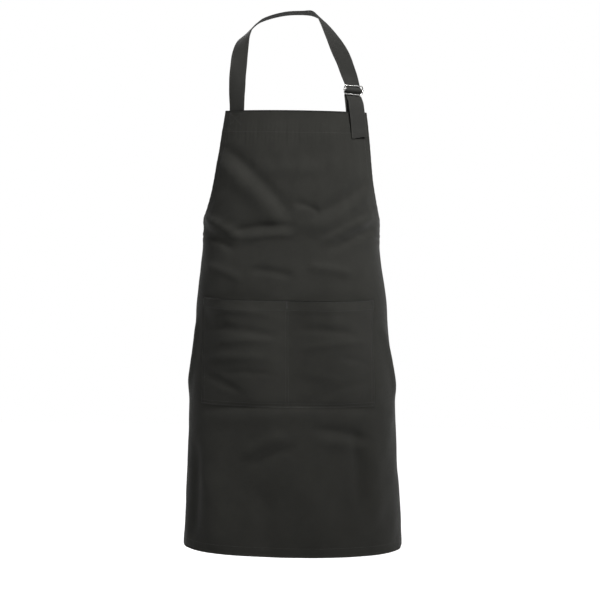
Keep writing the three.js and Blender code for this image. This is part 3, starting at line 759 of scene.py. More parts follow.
pocket_along = np.linspace(LEFT, RIGHT, 141)[None, :] * np.ones((91, 1))
pocket_drop = np.linspace(POCKET["drop"], FOOT, 91)[:, None] * np.ones((1, 141))
near_seam = np.minimum(np.minimum(pocket_along - LEFT, RIGHT - pocket_along), FOOT - pocket_drop)
from_mouth = pocket_drop - POCKET["drop"]
pocket_wear = 0.6 * np.exp(-near_seam / 3) + 0.3 * np.exp(-from_mouth / 3)
pocket_wear += 0.25 * np.exp(-(np.abs(pocket_along - POCKET["shift"]) / 5) ** 2)
pocket_wear += 0.2 * np.exp(-((from_mouth - POCKET["hem"]) / 4) ** 2)
pocket_wear = np.clip(pocket_wear, 0, 1)
to_middle = CLOTH / 2     # the panel's middle is half a ply out from the body
pocket = lay("pocket", pocket_along, pocket_drop,
             pocket_lift(pocket_along, pocket_drop) + CLOTH / 2 - to_middle, pocket_wear)
mouth_along = pocket_along[:10]
mouth_drop = np.linspace(POCKET["drop"], POCKET["drop"] + POCKET["hem"], 10)[:, None]
mouth_drop = mouth_drop * np.ones_like(mouth_along)
mouth_hem = lay("pocket_mouth_hem", mouth_along, mouth_drop,
                pocket_lift(mouth_along, mouth_drop) - SEAM - CLOTH / 2 - to_middle)
print("pocket from drop", POCKET["drop"], "to", FOOT, "and along", LEFT, "to", RIGHT)

# %% [markdown]
# ## Straps
# Every strap, tie and loop is a band: a path of stations, each with the direction across it. The
# strap is the panel's twill folded in four and edge-stitched, so its edges are thin and rounded,
# a shallow groove follows each row of stitches, and its sides waver a little.

# %% Bands along a path
def through(points, count):
    """Evenly many rows on a smooth curve through given ones; the first three columns place."""
    p = np.asarray(points, float)
    h = np.linalg.norm(np.diff(p[:, :3], axis=0), axis=1)[:, None]
    slope = np.diff(p, axis=0) / h
    inside = (slope[:-1] * h[1:] + slope[1:] * h[:-1]) / (h[:-1] + h[1:])
    m = np.concatenate([slope[:1], inside, slope[-1:]])
    knots = np.concatenate([[0], np.cumsum(h)])
    at = np.linspace(0, knots[-1], count)
    k = np.clip(np.searchsorted(knots, at, "right") - 1, 0, len(h) - 1)
    t, w = ((at - knots[k]) / h[k, 0])[:, None], h[k]
    return ((2 * t ** 3 - 3 * t ** 2 + 1) * p[k] + (t ** 3 - 2 * t ** 2 + t) * w * m[k]
            + (3 * t ** 2 - 2 * t ** 3) * p[k + 1] + (t ** 3 - t ** 2) * w * m[k + 1])


def stations(*rows):
    """Rows of (point in metres, direction across) as one array of six columns."""
    return np.array([np.concatenate([np.asarray(at), np.asarray(across)]) for at, across in rows])


ACROSS = np.array([-1, -0.97, -0.9, -0.82, -0.74, -0.4, 0, 0.4, 0.74, 0.82, 0.9, 0.97, 1])
PROFILE = np.array([0.35, 0.75, 1, 0.84, 1, 1.04, 1.05, 1.04, 1, 0.84, 1, 0.75, 0.35])
bands = {}


def band(name, path, thick=STRAP_THICK, width=STRAP, hem=0, seed=1, square=True):
    """A strap along stations (N by 6). `hem` doubles the last millimetres, as a turned end."""
    at, across = path[:, :3], path[:, 3:].copy()
    run = np.gradient(at, axis=0)
    run /= np.linalg.norm(run, axis=1, keepdims=True)
    if square:
        across -= run * np.sum(across * run, axis=1, keepdims=True)
    across /= np.linalg.norm(across, axis=1, keepdims=True)
    face = np.cross(across, run)
    face /= np.linalg.norm(face, axis=1, keepdims=True)
    along = np.concatenate([[0], np.cumsum(np.linalg.norm(np.diff(at, axis=0), axis=1))]) / MM
    rng = np.random.default_rng(seed)
    turns = rng.uniform(0, 6.3, 4)
    sway = 0.16 * np.sin(along / 17 + turns[0]) + 0.12 * np.sin(along / 6.1 + turns[1])
    half = np.broadcast_to(width, along.shape) / 2
    x = ACROSS[None, :] * half[:, None] + sway[:, None] * np.abs(ACROSS[None, :])
    body_thick = thick * PROFILE[None, :] * (1 + 0.05 * np.sin(along / 9 + turns[2]))[:, None]
    body_thick = body_thick * (1 + 0.7 * smoothstep(along[-1] - hem, along[-1] - hem + 1.5, along)
                               if hem else np.ones(len(along)))[:, None]
    points = at[:, None, :] + across[:, None, :] * (x * MM)[..., None]
    normal = np.broadcast_to(face[:, None, :], points.shape)
    cut = np.stack([x, np.broadcast_to(along[:, None], x.shape)], -1) * MM
    worn = (0.75 * np.exp(-((1 - np.abs(ACROSS)) / 0.05) ** 2)[None, :]
            + 0.12 * (1 + np.sin(along / 31 + turns[3]))[:, None])
    bands[name] = dict(at=at, across=across, face=face, half=half, along=along, thick=thick)
    return slab(name, points, cut, body_thick * MM, STRAP_CLOTH, np.clip(worn, 0, 1), normal)


print("bands are", len(ACROSS), "points wide")

# %% Where the buckle stands
BUCKLE_ALONG = BIB / 2 - BUCKLE_INSET
LEFT_ALONG, RIGHT_ALONG = INSET["left"] - BIB / 2, BIB / 2 - INSET["right"]
flat_right = level(BUCKLE_ALONG)
inwards = np.array((-flat_right[1], flat_right[0], 0))
roll = math.radians(BUCKLE_ROLL)
wire_axis = flat_right * math.cos(roll) + np.array((0, 0, math.sin(roll)))
side_axis = np.cross(wire_axis, inwards)
buckle_middle = on_body(BUCKLE_ALONG, 0, BUCKLE_LIFT) + np.array((0, 0, BUCKLE_RISE)) * MM


def in_buckle(x, y, z):
    """A point in the buckle's own axes: along its wires, inwards, and up its side wires."""
    x, y, z = np.broadcast_arrays(x, y, z)
    out = x[..., None] * wire_axis + y[..., None] * inwards + z[..., None] * side_axis
    return buckle_middle + out * MM


STRAP_BEHIND = WIRE / 2 + WIRE_RELIEF + STRAP_THICK / 2
TAB_ROUND = BAR / 2 + SEAM + STRAP_THICK / 2
STRAP_ROUND = TAB_ROUND + STRAP_THICK + SEAM
TURN_Y, TURN_Z = STRAP_BEHIND, 0.4 * BUCKLE_HEIGHT
touch = math.atan2(TURN_Y, TURN_Z) - math.acos(STRAP_ROUND / math.hypot(TURN_Y, TURN_Z))
leave = -math.pi - touch
round_bar = lambda radius, angles: np.stack([radius * np.sin(angles), radius * np.cos(angles)], -1)
arc = round_bar(STRAP_ROUND, np.linspace(touch, leave, 22))
end_z = BUCKLE_HEIGHT / 2 + WIRE / 2
side_view = np.concatenate([[[STRAP_BEHIND, end_z]], [[TURN_Y, TURN_Z]], arc, [[TURN_Y, -TURN_Z]],
                            [[STRAP_BEHIND, -end_z]]])
in_frame = in_buckle(-BUCKLE_SKEW * side_view[:, 1], side_view[:, 0], side_view[:, 1])
in_frame = np.concatenate([in_frame, np.tile(wire_axis, (len(in_frame), 1))], 1)

print("the strap meets the bar at", round(math.degrees(touch)), "degrees")

# %% The neck strap's path
to_right, to_left = np.array((1, 0, 0)), np.array((-1, 0, 0))
ROOT = 2 * (CLOTH + SEAM) + STRAP ** 2 / (8 * BIB_TURN)


def root(along, depth, drops):
    """Where a strap is sewn behind the bib: flat against it, level with the top edge."""
    rows = [on_body(along, 0, -depth, rise=-d) for d in drops]
    return stations(*[(at, level(along)) for at in rows])


fold_at = lambda word: place(FOLD[word], FOLD["y"], FOLD["height"])
left_root = root(LEFT_ALONG, ROOT, (STRAP_SEWN, STRAP_SEWN / 2, 0))
left_rise = np.concatenate([left_root, stations((fold_at("left"), to_right))])
loop = stations(*[(place(*at), across) for at, across in NECK_ROUTE])
midway = in_frame[0, :3] * 0.55 + fold_at("right") * 0.45
right_rise = stations((fold_at("right"), to_left), (midway, -(to_right + flat_right) / 2))
turned_over = in_frame.copy()
turned_over[:, 3:] *= -1
# The direction across points right on the way up and left on the way down, into the buckle.
path = through(np.concatenate([left_rise, loop, right_rise, turned_over[:1]]), 300)
path = np.concatenate([path, turned_over[1:]])
steps = np.linalg.norm(np.diff(path[:, :3], axis=0), axis=1)
print("neck strap, mm:", round(float(steps.sum() / MM)))

# %% Neck strap, anchor tab and free end
neck = band("neck_webbing", path, seed=3, square=False)
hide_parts("neck_strap", "neck_strap_left_end", "neck_strap_right_end")
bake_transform(neck)

arc = round_bar(TAB_ROUND, np.linspace(math.pi / 2, leave, 26))
TAB_FRONT = STRAP_BEHIND + STRAP_THICK + SEAM
TAB_BACK = TAB_FRONT + STRAP_THICK + SEAM
last_y, last_z = arc[-1]
strap_y, strap_z = round_bar(STRAP_ROUND, np.array(leave))
slope = (-TURN_Z - strap_z) / (TURN_Y - strap_y)
join_z, low_z = last_z + slope * (TAB_FRONT - last_y), -BUCKLE_HEIGHT / 2 - WIRE
side_view = np.concatenate([[[TAB_BACK, low_z], [TAB_BACK, join_z + STRAP_THICK / 2]], arc,
                            [[TAB_FRONT, join_z], [TAB_FRONT, low_z]]])
tab = in_buckle(0, side_view[:, 0], side_view[:, 1])
tab = np.concatenate([tab, np.tile(wire_axis, (len(tab), 1))], 1)


def straighten(ends):
    """Nine stations on the straight line between two."""
    return ends[:1] + (ends[1:2] - ends[:1]) * np.linspace(0, 1, 9)[:, None]


back_run = root(RIGHT_ALONG, ROOT + STRAP_THICK + SEAM, (STRAP_SEWN, 0))
front_run = root(RIGHT_ALONG, ROOT, (0, STRAP_SEWN))
up_back = straighten(np.stack([back_run[-1], tab[0]]))[1:-1]
down_front = straighten(np.stack([tab[-1], front_run[0]]))[1:-1]
path = np.concatenate([straighten(back_run), up_back, tab, down_front, straighten(front_run)])
anchor = give(band("anchor_tab", path, seed=5), "apron", ["anchor_tab"])

TAIL_START = BUCKLE_HEIGHT / 2 + WIRE / 2 + 1.2
TAIL_DROP, TAIL_LIFT = 48, 4.6  # how far the free end hangs down the bib, and stands off it
tail_top = in_buckle(BUCKLE_SKEW * TAIL_START, STRAP_BEHIND, -TAIL_START)
top_rise = tail_top[2] / MM + NAPE[2]
lean = lambda drop: RIGHT_ALONG - 1 + 10.5 * (drop + top_rise) / (TAIL_DROP + top_rise)
run = surf(lean(TAIL_DROP), TAIL_DROP, TAIL_LIFT) - tail_top
run /= np.linalg.norm(run)
squared = wire_axis - run * (wire_axis @ run)
over_edge = [(on_body(lean(-r), 0, lift, rise=r), across) for r, lift, across in (
    (top_rise - 9, 1.0, wire_axis), (top_rise - 20, 3.8, squared), (3, TAIL_LIFT, squared))]
on_cloth = [(surf(lean(d), d, lift), squared) for d, lift in (
    (TAIL_DROP / 2, TAIL_LIFT - CLOTH / 2), (TAIL_DROP, TAIL_LIFT - CLOTH / 2 - 0.6))]
tail_first = tail_top - (inwards * 0.5 + side_axis * 0.3) * MM
path = through(stations((tail_first, wire_axis), *over_edge, *on_cloth), 60)
tail = give(band("strap_tail", path, hem=14, seed=8, square=False), "strap_tail", ["strap_tail"])
print("straps:", neck.name, anchor.name, tail.name)

# %% [markdown]
# ## Slide buckle
# The buckle is one ring of round wire, and a bar whose two beads are drilled for the ring's side
# wires, so it slides on them. Both are swept from circles, fine enough to gleam smoothly.

# %% Buckle ring and bar
def tube(points, outs, other, radius, closed, sides=20):
    """Vertices and faces of a round wire; outs and other span each section."""
    angle = np.linspace(0, 2 * math.pi, sides, endpoint=False)
    across, inward = np.cos(angle)[None, :, None], np.sin(angle)[None, :, None]
    ring = points[:, None, :] + radius * (across * outs[:, None, :] + inward * other[:, None, :])
    count = len(points)
    k, i = np.meshgrid(np.arange(count if closed else count - 1), np.arange(sides), indexing="ij")
    a, b = k * sides + i, k * sides + (i + 1) % sides
    c, d = ((k + 1) % count) * sides + (i + 1) % sides, ((k + 1) % count) * sides + i
    faces = np.stack([a, b, c, d], -1).reshape(-1, 4).tolist()
    if not closed:
        faces += [list(range(sides))[::-1], [(count - 1) * sides + n for n in range(sides)]]
    return ring.reshape(-1, 3), faces


def solid(name, parts, finish):
    """One mesh out of several closed shells, each turned so that its faces look outwards."""
    made = bmesh.new()
    for vertices, faces in parts:
        own = [made.verts.new(v) for v in vertices]
        for face in faces:
            made.faces.new([own[n] for n in face])
    bmesh.ops.recalc_face_normals(made, faces=made.faces)
    mesh = bpy.data.meshes.new(name)
    made.to_mesh(mesh)
    made.free()
    mesh.polygons.foreach_set("use_smooth", np.ones(len(mesh.polygons), bool))
    mesh.materials.append(finish)
    piece = bpy.data.objects.new(name, mesh)
    bpy.context.scene.collection.objects.link(piece)
    return piece


SPAN, CORNER = STRAP + 4 + WIRE, 3
cx, cz = SPAN / 2 - CORNER, BUCKLE_HEIGHT / 2 - CORNER
corners = [(cx, cz, 0), (-cx, cz, 90), (-cx, -cz, 180), (cx, -cz, 270)]
ring = np.array([(x + CORNER * math.cos(math.radians(a)), z + CORNER * math.sin(math.radians(a)))
                 for x, z, start in corners for a in np.linspace(start, start + 90, 10)])
run = np.roll(ring, -1, axis=0) - np.roll(ring, 1, axis=0)
run /= np.linalg.norm(run, axis=1, keepdims=True)
centres = in_buckle(ring[:, 0], 0.0, ring[:, 1])
outs = run[:, 1:2] * wire_axis - run[:, :1] * side_axis
vertices, faces = tube(centres, outs, np.tile(inwards, (len(ring), 1)), WIRE / 2 * MM, True)
buckle = give(solid("buckle_ring", [(vertices, faces)], NICKEL), "buckle_frame", ["buckle_frame"])

print("ring:", len(buckle.data.polygons), "faces")

# %% The sliding bar and its beads
BALL, HOLE = 5.2 / 2, WIRE / 2 + 0.3
INTO_BEAD = 1.9           # the rod ends this far short of the side wire's middle
reach = np.linspace(-SPAN / 2 + INTO_BEAD, SPAN / 2 - INTO_BEAD, 24)
parts = [tube(in_buckle(reach, 0.0, 0.0), np.tile(inwards, (24, 1)), np.tile(side_axis, (24, 1)),
              BAR / 2 * MM, False)]
lip = math.sqrt(BALL ** 2 - HOLE ** 2)
swing = np.linspace(math.asin(lip / BALL), -math.asin(lip / BALL), 14)
profile = np.concatenate([np.stack([BALL * np.cos(swing), BALL * np.sin(swing)], -1),
                          np.stack([np.full(5, HOLE), np.linspace(-lip, lip, 7)[1:-1]], -1)])
for side in (-1, 1):
    turn = np.linspace(0, 2 * math.pi, 28, endpoint=False)
    spin = np.cos(turn)[:, None] * wire_axis + np.sin(turn)[:, None] * inwards
    centre = in_buckle(side * SPAN / 2, 0.0, 0.0)
    shell = centre + (profile[None, :, :1] * spin[:, None, :] + profile[None, :, 1:] * side_axis) * MM
    count = len(profile)
    k, i = np.meshgrid(np.arange(28), np.arange(count), indexing="ij")
    quads = np.stack([k * count + i, k * count + (i + 1) % count,
                      ((k + 1) % 28) * count + (i + 1) % count, ((k + 1) % 28) * count + i], -1)
    parts.append((shell.reshape(-1, 3), quads.reshape(-1, 4).tolist()))
bar = give(solid("buckle_bar", parts, NICKEL), "slider_bar", ["slider_bar"])
print("bar:", len(bar.data.polygons), "faces")

# %% [markdown]
# ## Waist ties and bow
# The ties leave the waist corners and meet behind the wearer in a bow: two loops, pinched where
# the knot grips them, two free ends that hang and end in a narrow hem, and the knot itself,
# wrapped by one tie so that its folds run up and down.

# %% Ties, knot, loops and free ends
KNOT_WIDTH, KNOT_DEPTH, KNOT_HEIGHT, LOOP, BOW_TAIL = 34, 17, 38, 96, 400
TIE_DROP, TIE_SEWN = WAIST + STRAP / 2 + 3, 28
TIE_INSIDE = CLOTH + 2 * SEAM + STRAP_THICK / 2 + 0.7
half_girth = section(TIE_DROP)[0][-1]
knot_middle = on_body(half_girth, TIE_DROP, -TIE_INSIDE)
upright = np.array((0, 0, 1))
soft = []
for word, side in (("left", -1), ("right", 1)):
    spread = np.linspace(SKIRT / 2 - TIE_SEWN, half_girth - KNOT_WIDTH / 2 + 2, 60)
    loose = smoothstep(SKIRT / 2 + 10, SKIRT / 2 + 60, spread)
    slack = 0.5 * np.sin((spread - spread[0]) / 23) * loose
    squeeze = 1 - 0.28 * smoothstep(spread[-1] - 34, spread[-1], spread)
    path = stations(*[(on_body(side * a, TIE_DROP, s - TIE_INSIDE), upright)
                      for a, s in zip(spread, slack)])
    soft.append(give(band("waist_tie_" + word, path, width=STRAP * squeeze, seed=11 + side),
                     "apron", ["waist_tie_" + word]))
    route = [(0, 2.5, 0), (0.35, 3, -5), (0.75, 4, -22), (0.96, 7, -34), (1, 12, -37),
             (0.94, 17, -34), (0.7, 19, -20), (0.35, 13, -6), (0, 6.5, 0)]
    lean = np.array((side * 0.25, 0, 1))
    out_to = lambda part: side * (KNOT_WIDTH / 2 - 3 + part * (LOOP + 4))
    path = through(stations(*[(knot_middle + np.array((out_to(s), y, z)) * MM, lean)
                              for s, y, z in route]), 90)
    share = np.linspace(0, 1, 90)
    pinch = 1 - 0.42 * np.exp(-(np.minimum(share, 1 - share) / 0.11) ** 2)
    soft.append(give(band("bow_loop_" + word, path, width=STRAP * pinch, seed=15 + side), "apron",
                     ["bow_loop_" + word]))
    top = knot_middle + np.array((side * (STRAP / 2 + 1), 3 + side, 0)) * MM
    shares = np.linspace(0, 1, 9)
    path = through(stations(*[(top + np.array((side * (26 * s - 3 * (1 - smoothstep(0, 0.2, s))),
                                               4 * s + 2.4 * math.sin(7 * s + side),
                                               -KNOT_HEIGHT / 2 + 1 - s * BOW_TAIL)) * MM,
                               (1, 0.16 * math.sin(5 * s + side), 0)) for s in shares]), 130)
    narrow = 1 - 0.3 * np.exp(-(np.linspace(0, 1, 130) / 0.05) ** 2)
    soft.append(give(band("bow_tail_" + word, path, width=STRAP * narrow, hem=12, seed=19 + side),
                     "bow_tail_" + word, ["bow_tail_" + word]))

print("ties:", [p.name for p in soft])

# %% The knot, wrapped by one tie
rows, turns = 61, 96
lat = np.linspace(-math.pi / 2 + 0.02, math.pi / 2 - 0.02, rows)[:, None]
lon = np.linspace(0, 2 * math.pi, turns, endpoint=False)[None, :]
power = lambda c: np.sign(c) * np.abs(c) ** 0.62
shape = np.stack([power(np.cos(lat) * np.cos(lon)), power(np.cos(lat) * np.sin(lon)),
                  power(np.sin(lat) * np.ones_like(lon))], -1)
folds = np.sin(9 * lon + 1.2 * np.sin(2 * lat)) * np.cos(lat) ** 0.5
pleat = 1 + 0.05 * folds + 0.03 * np.sin(17 * lon + 2 * lat)
waisted = 1 - 0.1 * np.exp(-(lat / 0.5) ** 2)
knot_points = knot_middle + shape * (pleat * waisted)[..., None] * np.array(
    (KNOT_WIDTH / 2, KNOT_DEPTH / 2, KNOT_HEIGHT / 2)) * MM * 0.98
index = np.arange(rows * turns).reshape(rows, turns)
beside = np.roll(index, -1, 1)
quads = np.stack([index[:-1], beside[:-1], beside[1:], index[1:]], -1).reshape(-1, 4)
caps = [index[0].tolist()[::-1], index[-1].tolist()]
knot = solid("wrapped_knot", [(knot_points.reshape(-1, 3), quads.tolist() + caps)], STRAP_CLOTH)
layer = knot.data.uv_layers.new(name="cut")
corner = np.empty(len(knot.data.loops), int)
knot.data.loops.foreach_get("vertex_index", corner)
flat = np.stack(np.broadcast_arrays(lon * 14, lat * 18), -1).reshape(-1, 2) * MM
layer.data.foreach_set("uv", flat[corner].astype(np.float32).ravel())
worn = knot.data.attributes.new("wear", "FLOAT", "POINT")
worn.data.foreach_set("value", np.clip((pleat - 0.98) * 9, 0, 0.8).astype(np.float32).ravel())
give(knot, "apron", ["bow_knot"])

print("knot:", len(knot.data.polygons), "faces")

# %% A blank label inside the left side hem
LABEL = dict(drop=420, width=26, height=44, thick=0.6)
start = -(SKIRT / 2 - HEM) - 8
label_along = np.linspace(start, start + LABEL["width"], 14)[None, :] * np.ones((22, 1))
label_drop = np.linspace(LABEL["drop"], LABEL["drop"] + LABEL["height"], 22)[:, None]
label_drop = label_drop * np.ones((1, 14))
curl = 1.6 * smoothstep(start + 9, start + LABEL["width"], label_along) ** 2
label = lay("care_label", label_along, label_drop, -(2 * (CLOTH + SEAM) + 0.9 + 0.4) - curl, None,
            LABEL["thick"], TAPE, slot="label_tape")
print("label:", label.name)

# %% [markdown]
# ## Stitches
# A row of stitches is one short, plump thread repeated at an even pitch along a line. A
# Geometry Nodes tree does it: it takes the lines, resamples them to the pitch, and turns one
# low-poly thread along each line with its flat side on the cloth. Its inputs are the pitch and
# the stitch's own length, width and height.

# %% The sewing tree
def sewing_tree():
    tree = bpy.data.node_groups.new("sew", "GeometryNodeTree")
    face = tree.interface
    face.new_socket("Geometry", in_out="INPUT", socket_type="NodeSocketGeometry")
    inputs = {}
    for name, value in (("Pitch", 3.0), ("Length", 2.4), ("Width", 0.5), ("Height", 0.36),
                        ("Lean", 0.0)):
        inputs[name] = face.new_socket(name, in_out="INPUT", socket_type="NodeSocketFloat")
        inputs[name].default_value = value
    seed = face.new_socket("Seed", in_out="INPUT", socket_type="NodeSocketInt")
    seed.default_value = 4
    inputs["Seed"] = seed
    face.new_socket("Geometry", in_out="OUTPUT", socket_type="NodeSocketGeometry")
    node = lambda kind: tree.nodes.new(kind)
    link = tree.links.new
    start, end = node("NodeGroupInput"), node("NodeGroupOutput")

    def maths(operation, one, other):
        n = node("ShaderNodeMath")
        n.operation = operation
        for socket, value in zip(n.inputs, (one, other)):
            if isinstance(value, bpy.types.NodeSocket):
                link(value, socket)
            else:
                socket.default_value = value
        return n.outputs[0]

    curve = node("GeometryNodeMeshToCurve")
    link(start.outputs["Geometry"], curve.inputs["Mesh"])
    even = node("GeometryNodeResampleCurve")
    even.mode = "LENGTH"
    link(curve.outputs[0], even.inputs["Curve"])
    link(maths("MULTIPLY", start.outputs["Pitch"], MM), even.inputs["Length"])
    grain = node("GeometryNodeMeshUVSphere")
    grain.inputs["Segments"].default_value, grain.inputs["Rings"].default_value = 6, 4
    grain.inputs["Radius"].default_value = 0.5 * MM
    size = node("ShaderNodeCombineXYZ")
    for socket, name in zip(size.inputs, ("Height", "Width", "Length")):
        link(start.outputs[name], socket)
    shaped = node("GeometryNodeTransform")
    link(grain.outputs["Mesh"], shaped.inputs["Geometry"])
    link(size.outputs[0], shaped.inputs["Scale"])
    tangent, up = node("GeometryNodeInputTangent"), node("GeometryNodeInputNamedAttribute")
    up.data_type = "FLOAT_VECTOR"
    up.inputs["Name"].default_value = "up"
    along, flat = (node("FunctionNodeAlignRotationToVector") for _ in range(2))
    along.axis, flat.axis, flat.pivot_axis = "Z", "X", "Z"
    link(tangent.outputs[0], along.inputs["Vector"])
    link(along.outputs[0], flat.inputs["Rotation"])
    link(up.outputs["Attribute"], flat.inputs["Vector"])
    chance = node("FunctionNodeRandomValue")
    chance.data_type = "FLOAT"
    link(start.outputs["Seed"], chance.inputs["Seed"])
    wobble = maths("MULTIPLY", maths("SUBTRACT", chance.outputs[1], 0.5), 0.16)
    lean = node("ShaderNodeCombineXYZ")
    link(maths("ADD", start.outputs["Lean"], wobble), lean.inputs["X"])
    turn = node("FunctionNodeRotateRotation")
    turn.rotation_space = "LOCAL"
    link(flat.outputs[0], turn.inputs["Rotation"])
    link(lean.outputs[0], turn.inputs["Rotate By"])
    place_each = node("GeometryNodeInstanceOnPoints")
    link(even.outputs[0], place_each.inputs["Points"])
    link(shaped.outputs[0], place_each.inputs["Instance"])
    link(turn.outputs[0], place_each.inputs["Rotation"])
    real, paint = node("GeometryNodeRealizeInstances"), node("GeometryNodeSetMaterial")
    paint.inputs["Material"].default_value = THREAD
    link(place_each.outputs[0], real.inputs[0])
    link(real.outputs[0], paint.inputs["Geometry"])
    link(paint.outputs[0], end.inputs["Geometry"])
    return tree, {name: socket.identifier for name, socket in inputs.items()}


SEWING, SEWING_INPUTS = sewing_tree()


def sew(name, lines, **settings):
    """Stitches along lines, each a pair of arrays: points, and the way out of the cloth."""
    points = np.concatenate([p for p, _ in lines])
    edges, first = [], 0
    for p, _ in lines:
        edges += [(first + n, first + n + 1) for n in range(len(p) - 1)]
        first += len(p)
    mesh = bpy.data.meshes.new(name + "_lines")
    mesh.from_pydata(points.tolist(), edges, [])
    store = mesh.attributes.new("up", "FLOAT_VECTOR", "POINT")
    outwards = np.concatenate([u for _, u in lines]).astype(np.float32)
    store.data.foreach_set("vector", outwards.ravel())
    guide = bpy.data.objects.new(name + "_guide", mesh)
    bpy.context.scene.collection.objects.link(guide)
    modifier = guide.modifiers.new("sew", "NODES")
    modifier.node_group = SEWING
    for key, value in settings.items():
        modifier[SEWING_INPUTS[key]] = value
    ready = guide.evaluated_get(bpy.context.evaluated_depsgraph_get())
    made = bpy.data.meshes.new_from_object(ready)
    bpy.data.objects.remove(guide)
    piece = bpy.data.objects.new(name, made)
    made.polygons.foreach_set("use_smooth", np.ones(len(made.polygons), bool))
    bpy.context.scene.collection.objects.link(piece)
    return piece


# %% Rows of stitches on the cloth
def cloth_line(along, drop, lift):
    """A line on the panel with the cloth's own way out, from the settled surface."""
    along, drop, lift = (np.asarray(v, float) for v in np.broadcast_arrays(along, drop, lift))
    low = surf(along, drop, lift)
    out = surf(along, drop, lift + 1) - low
    return low, out / np.linalg.norm(out, axis=1, keepdims=True)


def level_row(drop, left, right, lift, count=200):
    return cloth_line(np.linspace(left, right, count), drop, lift)


def upright_row(along, top, foot, lift, count=120):
    drops = np.linspace(top, foot, count)
    return cloth_line(along(drops) if callable(along) else along, drops, lift)


def on_pocket(along, drop):
    """The same, on the pocket's outer side, with the way out taken across the patch itself."""
    along, drop = (np.asarray(v, float) for v in np.broadcast_arrays(along, drop))
    skin = lambda a, d: surf(a, d, pocket_lift(a, d) + CLOTH / 2 + 0.12)
    point = skin(along, drop)
    out = np.cross(skin(along, drop + 1) - point, skin(along + 1, drop) - point)
    out *= np.sign(np.sum(out * np.array((0, -1, 0)), axis=1, keepdims=True))
    return point, out / np.linalg.norm(out, axis=1, keepdims=True)


ON = CLOTH / 2 + 0.1
edge_at = lambda inset, side: (lambda drops: side * (half_width(drops) - inset))
width_at = lambda drop, inset: float(half_width(drop)) - inset
rows = [level_row(FACING - 2, -width_at(FACING, 2), width_at(FACING, 2), ON),
        level_row(2.2, -BIB / 2 + 3, BIB / 2 - 3, ON),
        level_row(LENGTH - HEM + 2, -SKIRT / 2 + 3, SKIRT / 2 - 3, ON, 400)]
for side in (-1, 1):
    rows += [upright_row(edge_at(HEM * 0.62, side), 4, WAIST - 2, ON),
             upright_row(edge_at(2.2, side), 4, WAIST - 2, ON),
             upright_row(edge_at(HEM - 2, side), WAIST, LENGTH - 3, ON, 260),
             upright_row(edge_at(2.2, side), WAIST, LENGTH - 3, ON, 260)]
inside = [(p - u * (2 * ON - INNER) * MM, -u) for p, u in rows]
print("rows of stitches on the panel:", len(rows))

# %% Rows of stitches on the pocket
P = POCKET["drop"]
rows += [on_pocket(LEFT + x, np.linspace(P + 2, FOOT - 2, 110)) for x in (2, 8)]
rows += [on_pocket(RIGHT - x, np.linspace(P + 2, FOOT - 2, 110)) for x in (2, 8)]
rows += [on_pocket(POCKET["shift"] + x, np.linspace(P + 2, FOOT - 2, 110)) for x in (-2.6, 2.6)]
rows += [on_pocket(np.linspace(LEFT + 2, RIGHT - 2, 220), FOOT - x) for x in (2, 8)]
rows += [on_pocket(np.linspace(LEFT + 3, RIGHT - 3, 300), P + x) for x in (2.2, POCKET["hem"] - 2)]


# %% The crossed squares that fasten the straps
def box_cross(middle, across, down, out, wide, tall):
    """The square with a cross inside that fastens a strap's end."""
    corner = lambda x, z: middle + (across * x * wide / 2 + down * z * tall / 2) * MM
    turns = [(-1, -1), (1, -1), (1, 1), (-1, 1), (-1, -1), (1, 1), (1, -1), (-1, 1)]
    lines = []
    for (x0, z0), (x1, z1) in zip(turns, turns[1:]):
        if (x0, z0, x1, z1) == (1, 1, 1, -1):
            continue
        share = np.linspace(0.03, 0.97, 9)[:, None]
        line = corner(x0, z0) * (1 - share) + corner(x1, z1) * share
        lines.append((line, np.tile(out, (9, 1))))
    return lines


down = np.array((0, 0, -1.0))
for along in (LEFT_ALONG, RIGHT_ALONG):
    middle, out = cloth_line(np.array([along]), 16, ON)
    rows += box_cross(middle[0], level(along), down, out[0], 24, 22)
for side in (-1, 1):
    middle, out = cloth_line(np.array([side * (SKIRT / 2 - TIE_SEWN / 2)]), TIE_DROP, ON)
    rows += box_cross(middle[0], level(side * (SKIRT / 2 - 14), TIE_DROP), down, out[0], 22, 26)


# %% Rows of stitches on the straps, and the bartacks
def band_rows(name, inset=2.6, first=0.0, last=1.0, faces=(1, -1)):
    """Both edge rows of a band, on each of its faces, between two shares of its length."""
    b = bands[name]
    n = len(b["at"])
    part = slice(int(first * (n - 1)), int(last * (n - 1)) + 1)
    found = []
    for face in faces:
        for side in (-1, 1):
            offset = b["across"] * (side * (b["half"] - inset) * MM)[:, None]
            lift = b["face"] * (face * (b["thick"] / 2 * 0.84 + 0.08) * MM)
            found.append(((b["at"] + offset + lift)[part], (b["face"] * face)[part]))
    return found


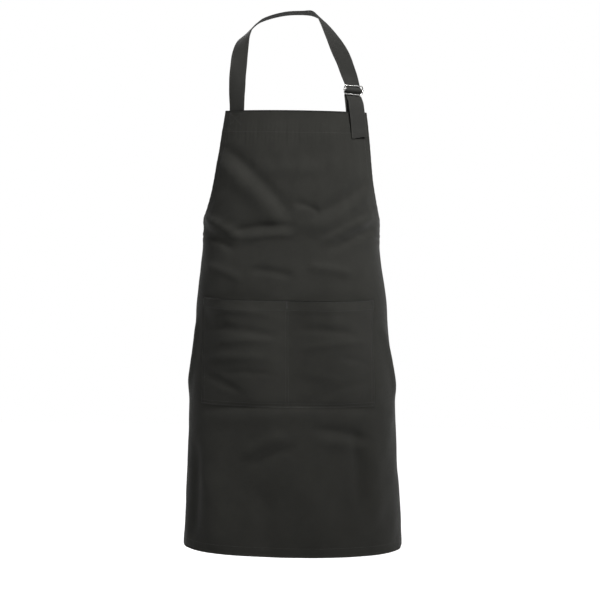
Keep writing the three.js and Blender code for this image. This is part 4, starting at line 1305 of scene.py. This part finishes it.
for name in ("waist_tie_left", "waist_tie_right", "bow_loop_left", "bow_loop_right"):
    rows += band_rows(name)
apron_stitches = give(sew("apron_stitches", rows + inside), "apron")
NECK_FIRST, NECK_LAST = 0.09, 0.915  # its rows stop short of the sewn root and the buckle
strap_stitches = sew("strap_stitches",
                     band_rows("neck_webbing", first=NECK_FIRST, last=NECK_LAST))
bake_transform(strap_stitches)


def hem_row(name, back):
    """A row across a band, some millimetres before its end."""
    b = bands[name]
    k = int(np.searchsorted(b["along"], b["along"][-1] - back))
    share = np.linspace(-0.9, 0.9, 12)[:, None]
    lift = (b["thick"] / 2 * 1.7 + 0.1) * MM
    return [(b["at"][k] + b["across"][k] * share * b["half"][k] * MM + b["face"][k] * face * lift,
             np.tile(b["face"][k] * face, (12, 1))) for face in (1, -1)]


for name, back in (("strap_tail", 11), ("bow_tail_left", 10), ("bow_tail_right", 10)):
    lines = band_rows(name, last=0.985) + hem_row(name, back)
    give(sew(name + "_stitches", lines), name)
for word, along in (("left", LEFT), ("centre", POCKET["shift"]), ("right", RIGHT)):
    inset = {"left": 2, "centre": 0, "right": -2}[word]
    tack = sew("bartack_" + word, [on_pocket(along + inset, np.linspace(P + 3, P + 16, 14))],
               Pitch=0.55, Length=3.0, Width=0.52, Height=0.5, Lean=math.pi / 2)
    give(tack, "apron", ["pocket_bartack_" + word])
print("stitch faces:", len(apron_stitches.data.polygons), len(strap_stitches.data.polygons))

# %% [markdown]
# ## The panel's flat area
# The panel isn't a rectangle, so its flat area comes from its outline.

drops = np.linspace(0, LENGTH, 2000)
panel_area = float(np.mean(2 * half_width(drops)) * LENGTH) * MM ** 2
held = {"neck_webbing": "hung", "anchor_tab": "folded", "strap_tail": "hung"}
for word in ("left", "right"):
    held.update({"waist_tie_" + word: "stretched", "bow_loop_" + word: "folded",
                 "bow_tail_" + word: "hung"})
for name, way in held.items():
    bpy.data.objects[name + "_cloth"]
    [knot] if name == "waist_tie_left" else ()
print("panel area, m2:", round(panel_area, 3))
